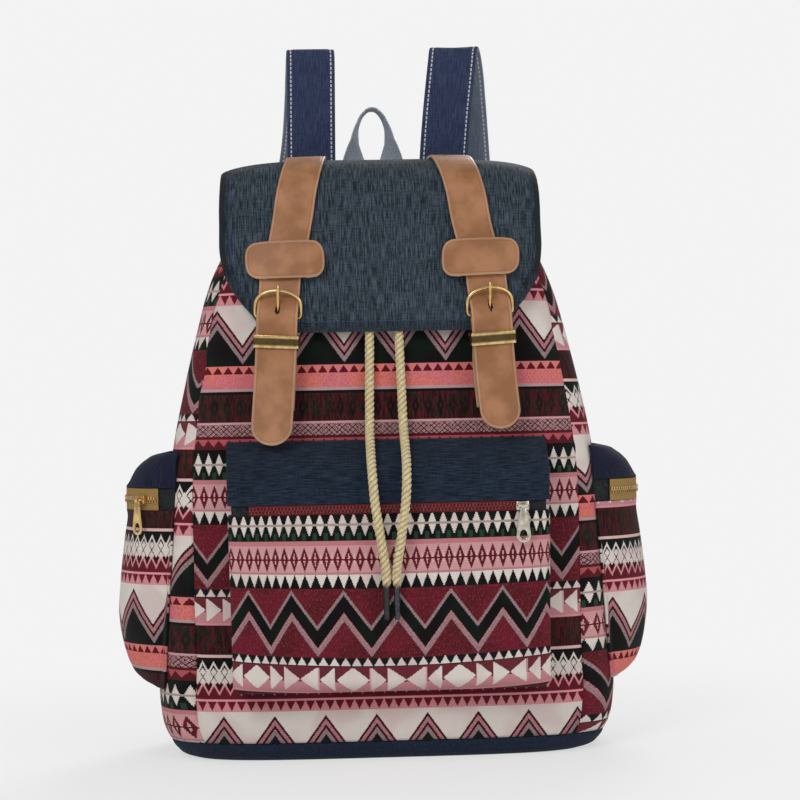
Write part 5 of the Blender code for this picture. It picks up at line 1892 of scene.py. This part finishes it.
def sew_strap(
    name, path, halves, thick, step, swell, finishes, node, turns=None, puff=0.0,
):
    """A strap of cloth along a path; a second finish goes on the outside of its bend."""
    path = np.asarray(path, float)
    rough = lengths(path)
    fine = smooth_path(path, step)
    share = np.linspace(0, rough[-1], len(fine))
    way = lengths(fine)
    half_at = np.interp(share, rough, halves)
    ahead = unit(np.gradient(fine, axis=0))
    wish = np.tile((1.0, 0.0, 0.0), (len(fine), 1))
    if turns is not None:
        angle = np.radians(np.interp(share, rough, turns))
        wish = np.stack([np.cos(angle), np.sin(angle), 0 * angle], axis=1)
    width_way = unit(wish - ahead * np.sum(ahead * wish, axis=1)[:, None])
    outward = np.cross(ahead, width_way)
    many = len(fine) - 1

    def parts(u, v):
        at = np.clip(np.round(v * many).astype(int), 0, many)
        across, out = strap_section(half_at[at], thick, u, swell)
        return at, across, out

    def place(u, v):
        at, across, out = parts(u, v)
        edge_share = np.abs(across) / half_at[at]
        lump = np.sin(way[at] / 8.0 + 1.1 * np.sin(way[at] / 37.0)) * (1 - edge_share**2)
        seam = bump(half_at[at] - np.abs(across), 3.2, 0.9)
        out = out + np.sign(out) * (puff * lump - 0.35 * seam * (puff > 0))
        end = np.minimum(way[at], way[-1] - way[at])
        out = out * (1 - 0.25 * bump(end, 0, 1.6))
        return fine[at] + across[:, None] * width_way[at] + out[:, None] * outward[at]

    def lie(u, v):
        at, across, _ = parts(u, v)
        return across + 3 * half_at[0], way[at]

    def edge(u, v):
        at, across, _ = parts(u, v)
        return half_at[at] - np.abs(across)

    mesh = woven_sheet(
        name, 72, many, place, lie, joined=True, edge=edge, way=lambda u, v: way[parts(u, v)[0]],
    )
    with reshaped(mesh) as shape:
        bmesh.ops.holes_fill(shape, edges=[e for e in shape.edges if e.is_boundary], sides=0)
        bmesh.ops.recalc_face_normals(shape, faces=shape.faces)
    made = piece(name, mesh, finishes, "bag", node)
    if isinstance(finishes, (list, tuple)):
        middle = (fine + (0, BACK_SHIFT, 0)) * MM
        centres = np.array([tuple(face.center) for face in mesh.polygons])
        near = np.argmin(((centres[:, None] - middle[None]) ** 2).sum(-1), axis=1)
        side_of = np.sum((centres - middle[near]) * outward[near], axis=1)
        for face, value in zip(mesh.polygons, side_of):
            face.material_index = 1 if value < 0 else 0
    return made


SHOULDER_RIGHT = (
    (51, 66.7, 373.5), (51.8, 66.9, 395), (53, 67.4, 420), (56, 68.2, 455), (59.5, 70, 485),
    (61.5, 72.8, 500), (63, 78, 508.3), (65, 84.5, 509.8), (67, 90.5, 506), (69, 94.5, 495),
    (70.5, 96, 475), (72.5, 96.5, 440), (74.5, 96, 400), (77.5, 94.5, 350), (80, 92.5, 300),
    (82, 91, 250), (83.6, 90, 210), (84.4, 89.5, 190),
)
SHOULDER_LEFT_X = (
    -46, -46, -45.8, -45.4, -45, -44.8, -44.8, -45, -45.4, -46, -47, -50, -57, -66, -74, -80, -83.6,
    -84.4,
)
SHOULDER_LEFT = [(x, *rest) for x, (_, *rest) in zip(SHOULDER_LEFT_X, SHOULDER_RIGHT)]
for word, path in (("left", SHOULDER_LEFT), ("right", SHOULDER_RIGHT)):
    halves = np.full(len(path), 18.0)
    halves[-3:] = (18.0, 16.25, 14.5)
    strap = sew_strap(
        f"padded_strap_{word}", path, halves, 5.2, 2.0, 0.35, (BACKING, NAVY),
        f"shoulder_strap_{word}", puff=0.28,
    )


def webbing_line(side):
    top = np.array((84.7 * side, 89.3, 189.5))
    foot = np.array((90.0 * side, 76.6, 27.5))
    down = unit(foot - top)
    across = unit(np.array((1.0, 0, 0)) - down * down[0])
    return top, foot, down, across, np.cross(across, down)


def fit_adjuster(word, side):
    """A ladder slide: a rounded frame with one bar behind the webbing and one before it."""
    top, _, down, across, outward = webbing_line(side)
    sign = 1 if outward[1] > 0 else -1
    place = frame_at(top + down * 22, across, down, sign * outward)
    plate_with_hole(
        f"adjuster_rails_{word}", rounded_box(16.2, 9.5, 2.5, 8), rounded_box(13.2, 6.6, 0.8, 8),
        3.9, lambda a, b, d: place(a, b, d + 1.1 - 1.7 * (np.abs(a) > 12.95) * (d < 1.9)),
        PLASTIC, f"{word}_adjuster", f"adjuster_{word}", soft=0.35,
    )
    for number, (level, size) in enumerate(((-2.2, 1.1), (3.6, 0.9))):
        ends = place(np.array((-14.6, 0.0, 14.6)), 0.0, level)
        wire(
            f"adjuster_bar_{word}_{number}", ends, size, PLASTIC, f"{word}_adjuster",
            f"adjuster_{word}",
        )


for word, side in SIDES:
    top, foot = webbing_line(side)[:2]
    line = np.array([top + (foot - top) * k for k in (0.0, 0.25, 0.5, 0.75, 1.0)])
    sew_strap(
        f"lower_webbing_{word}", line, np.full(5, 12.5), 1.35, 2.0, 0.0, WEBBING, f"webbing_{word}",
    )


half_loop = (
    (-13, 66.3, 372.35, 0), (-13.2, 66.3, 394, 0), (-13.6, 66.4, 412, 12), (-13.8, 66.8, 427, 42),
    (-13, 67.4, 440, 72), (-10.8, 68, 452, 84), (-6.5, 68, 460.5, 88), (-2.2, 68, 464, 90),
)
loop_path = list(half_loop) + [(-x, y, z, 180 - turn) for x, y, z, turn in half_loop[::-1]]
half_widths = (11.6, 11.6, 11.2, 10.6, 10.0, 9.6, 9.5, 9.5)
loop_halves = np.array(half_widths + half_widths[::-1])
sew_strap(
    "grab_loop_webbing", [p[:3] for p in loop_path], loop_halves, 1.5, 1.2, 0.0, WEBBING,
    "grab_loop", turns=[p[3] for p in loop_path],
)


# Denim patches at the back


def cut_corner_tab(word, side):
    """The folded denim tab that takes the foot of the webbing, with its row of stitches."""
    foot = webbing_line(side)[1]

    def half_at(v):
        return np.interp(v, (0, 16 / 22, 1), (14.5, 10, 0.4))

    def place(u, v):
        half = half_at(v)
        x = (2 * u - 1) * half
        rim = np.minimum(half - np.abs(x), np.minimum(22 * v + 1, 22 * (1 - v) + 0.5))
        puffed = 3.4 - 0.9 * bump(rim, 0, 0.9) - 0.35 * bump(rim, 3, 0.7)
        return np.stack([foot[0] + x, 73.0 + puffed, foot[2] - 1.0 - 22 * v], axis=-1)

    def edge(u, v):
        half = half_at(v)
        return np.minimum(half - np.abs((2 * u - 1) * half), 22 * np.minimum(v, 1 - v))

    mesh = woven_sheet(
        f"corner_patch_{word}", 30, 24, place, lambda u, v: (29 * u, 22 * v), edge=edge,
        way=lambda u, v: 22 * v,
    )
    with reshaped(mesh) as shape:
        bmesh.ops.reverse_faces(shape, faces=shape.faces)
    tab = piece(f"corner_patch_{word}", mesh, BASE_DENIM, "bag", f"corner_tab_{word}")
    thicken(tab, 2.4)


for word, side in SIDES:
    cut_corner_tab(word, side)
    fit_adjuster(word, side)


def sew_back_yoke():
    def place(u, v):
        u = 2 * u - 1
        z = 318 + (372 - 318) * v
        x = -u * (82 + 8 * (z - 322) / 50)
        level = 67.6 - 0.8 * (z - 318) / 54
        y = level * front_depth(x, 318.0) / front_depth(0.0, 318.0)
        lump = 0.3 * (ripple(x, 70, z, 26) - 1.0)
        return np.stack([x, y + 1.75 + lump * (1 - np.abs(u) ** 6), z], axis=-1)

    def edge(u, v):
        return np.minimum(90 * (1 - np.abs(2 * u - 1)), 54 * np.minimum(v, 1 - v))

    sewn(
        "back_yoke_denim", 120, 40, place, lambda u, v: (-(2 * u - 1) * 86, 54 * v), YOKE_DENIM,
        "back_yoke", "denim", 1.7, edge=edge, way=lambda u, v: 180 * u,
    )


sew_back_yoke()
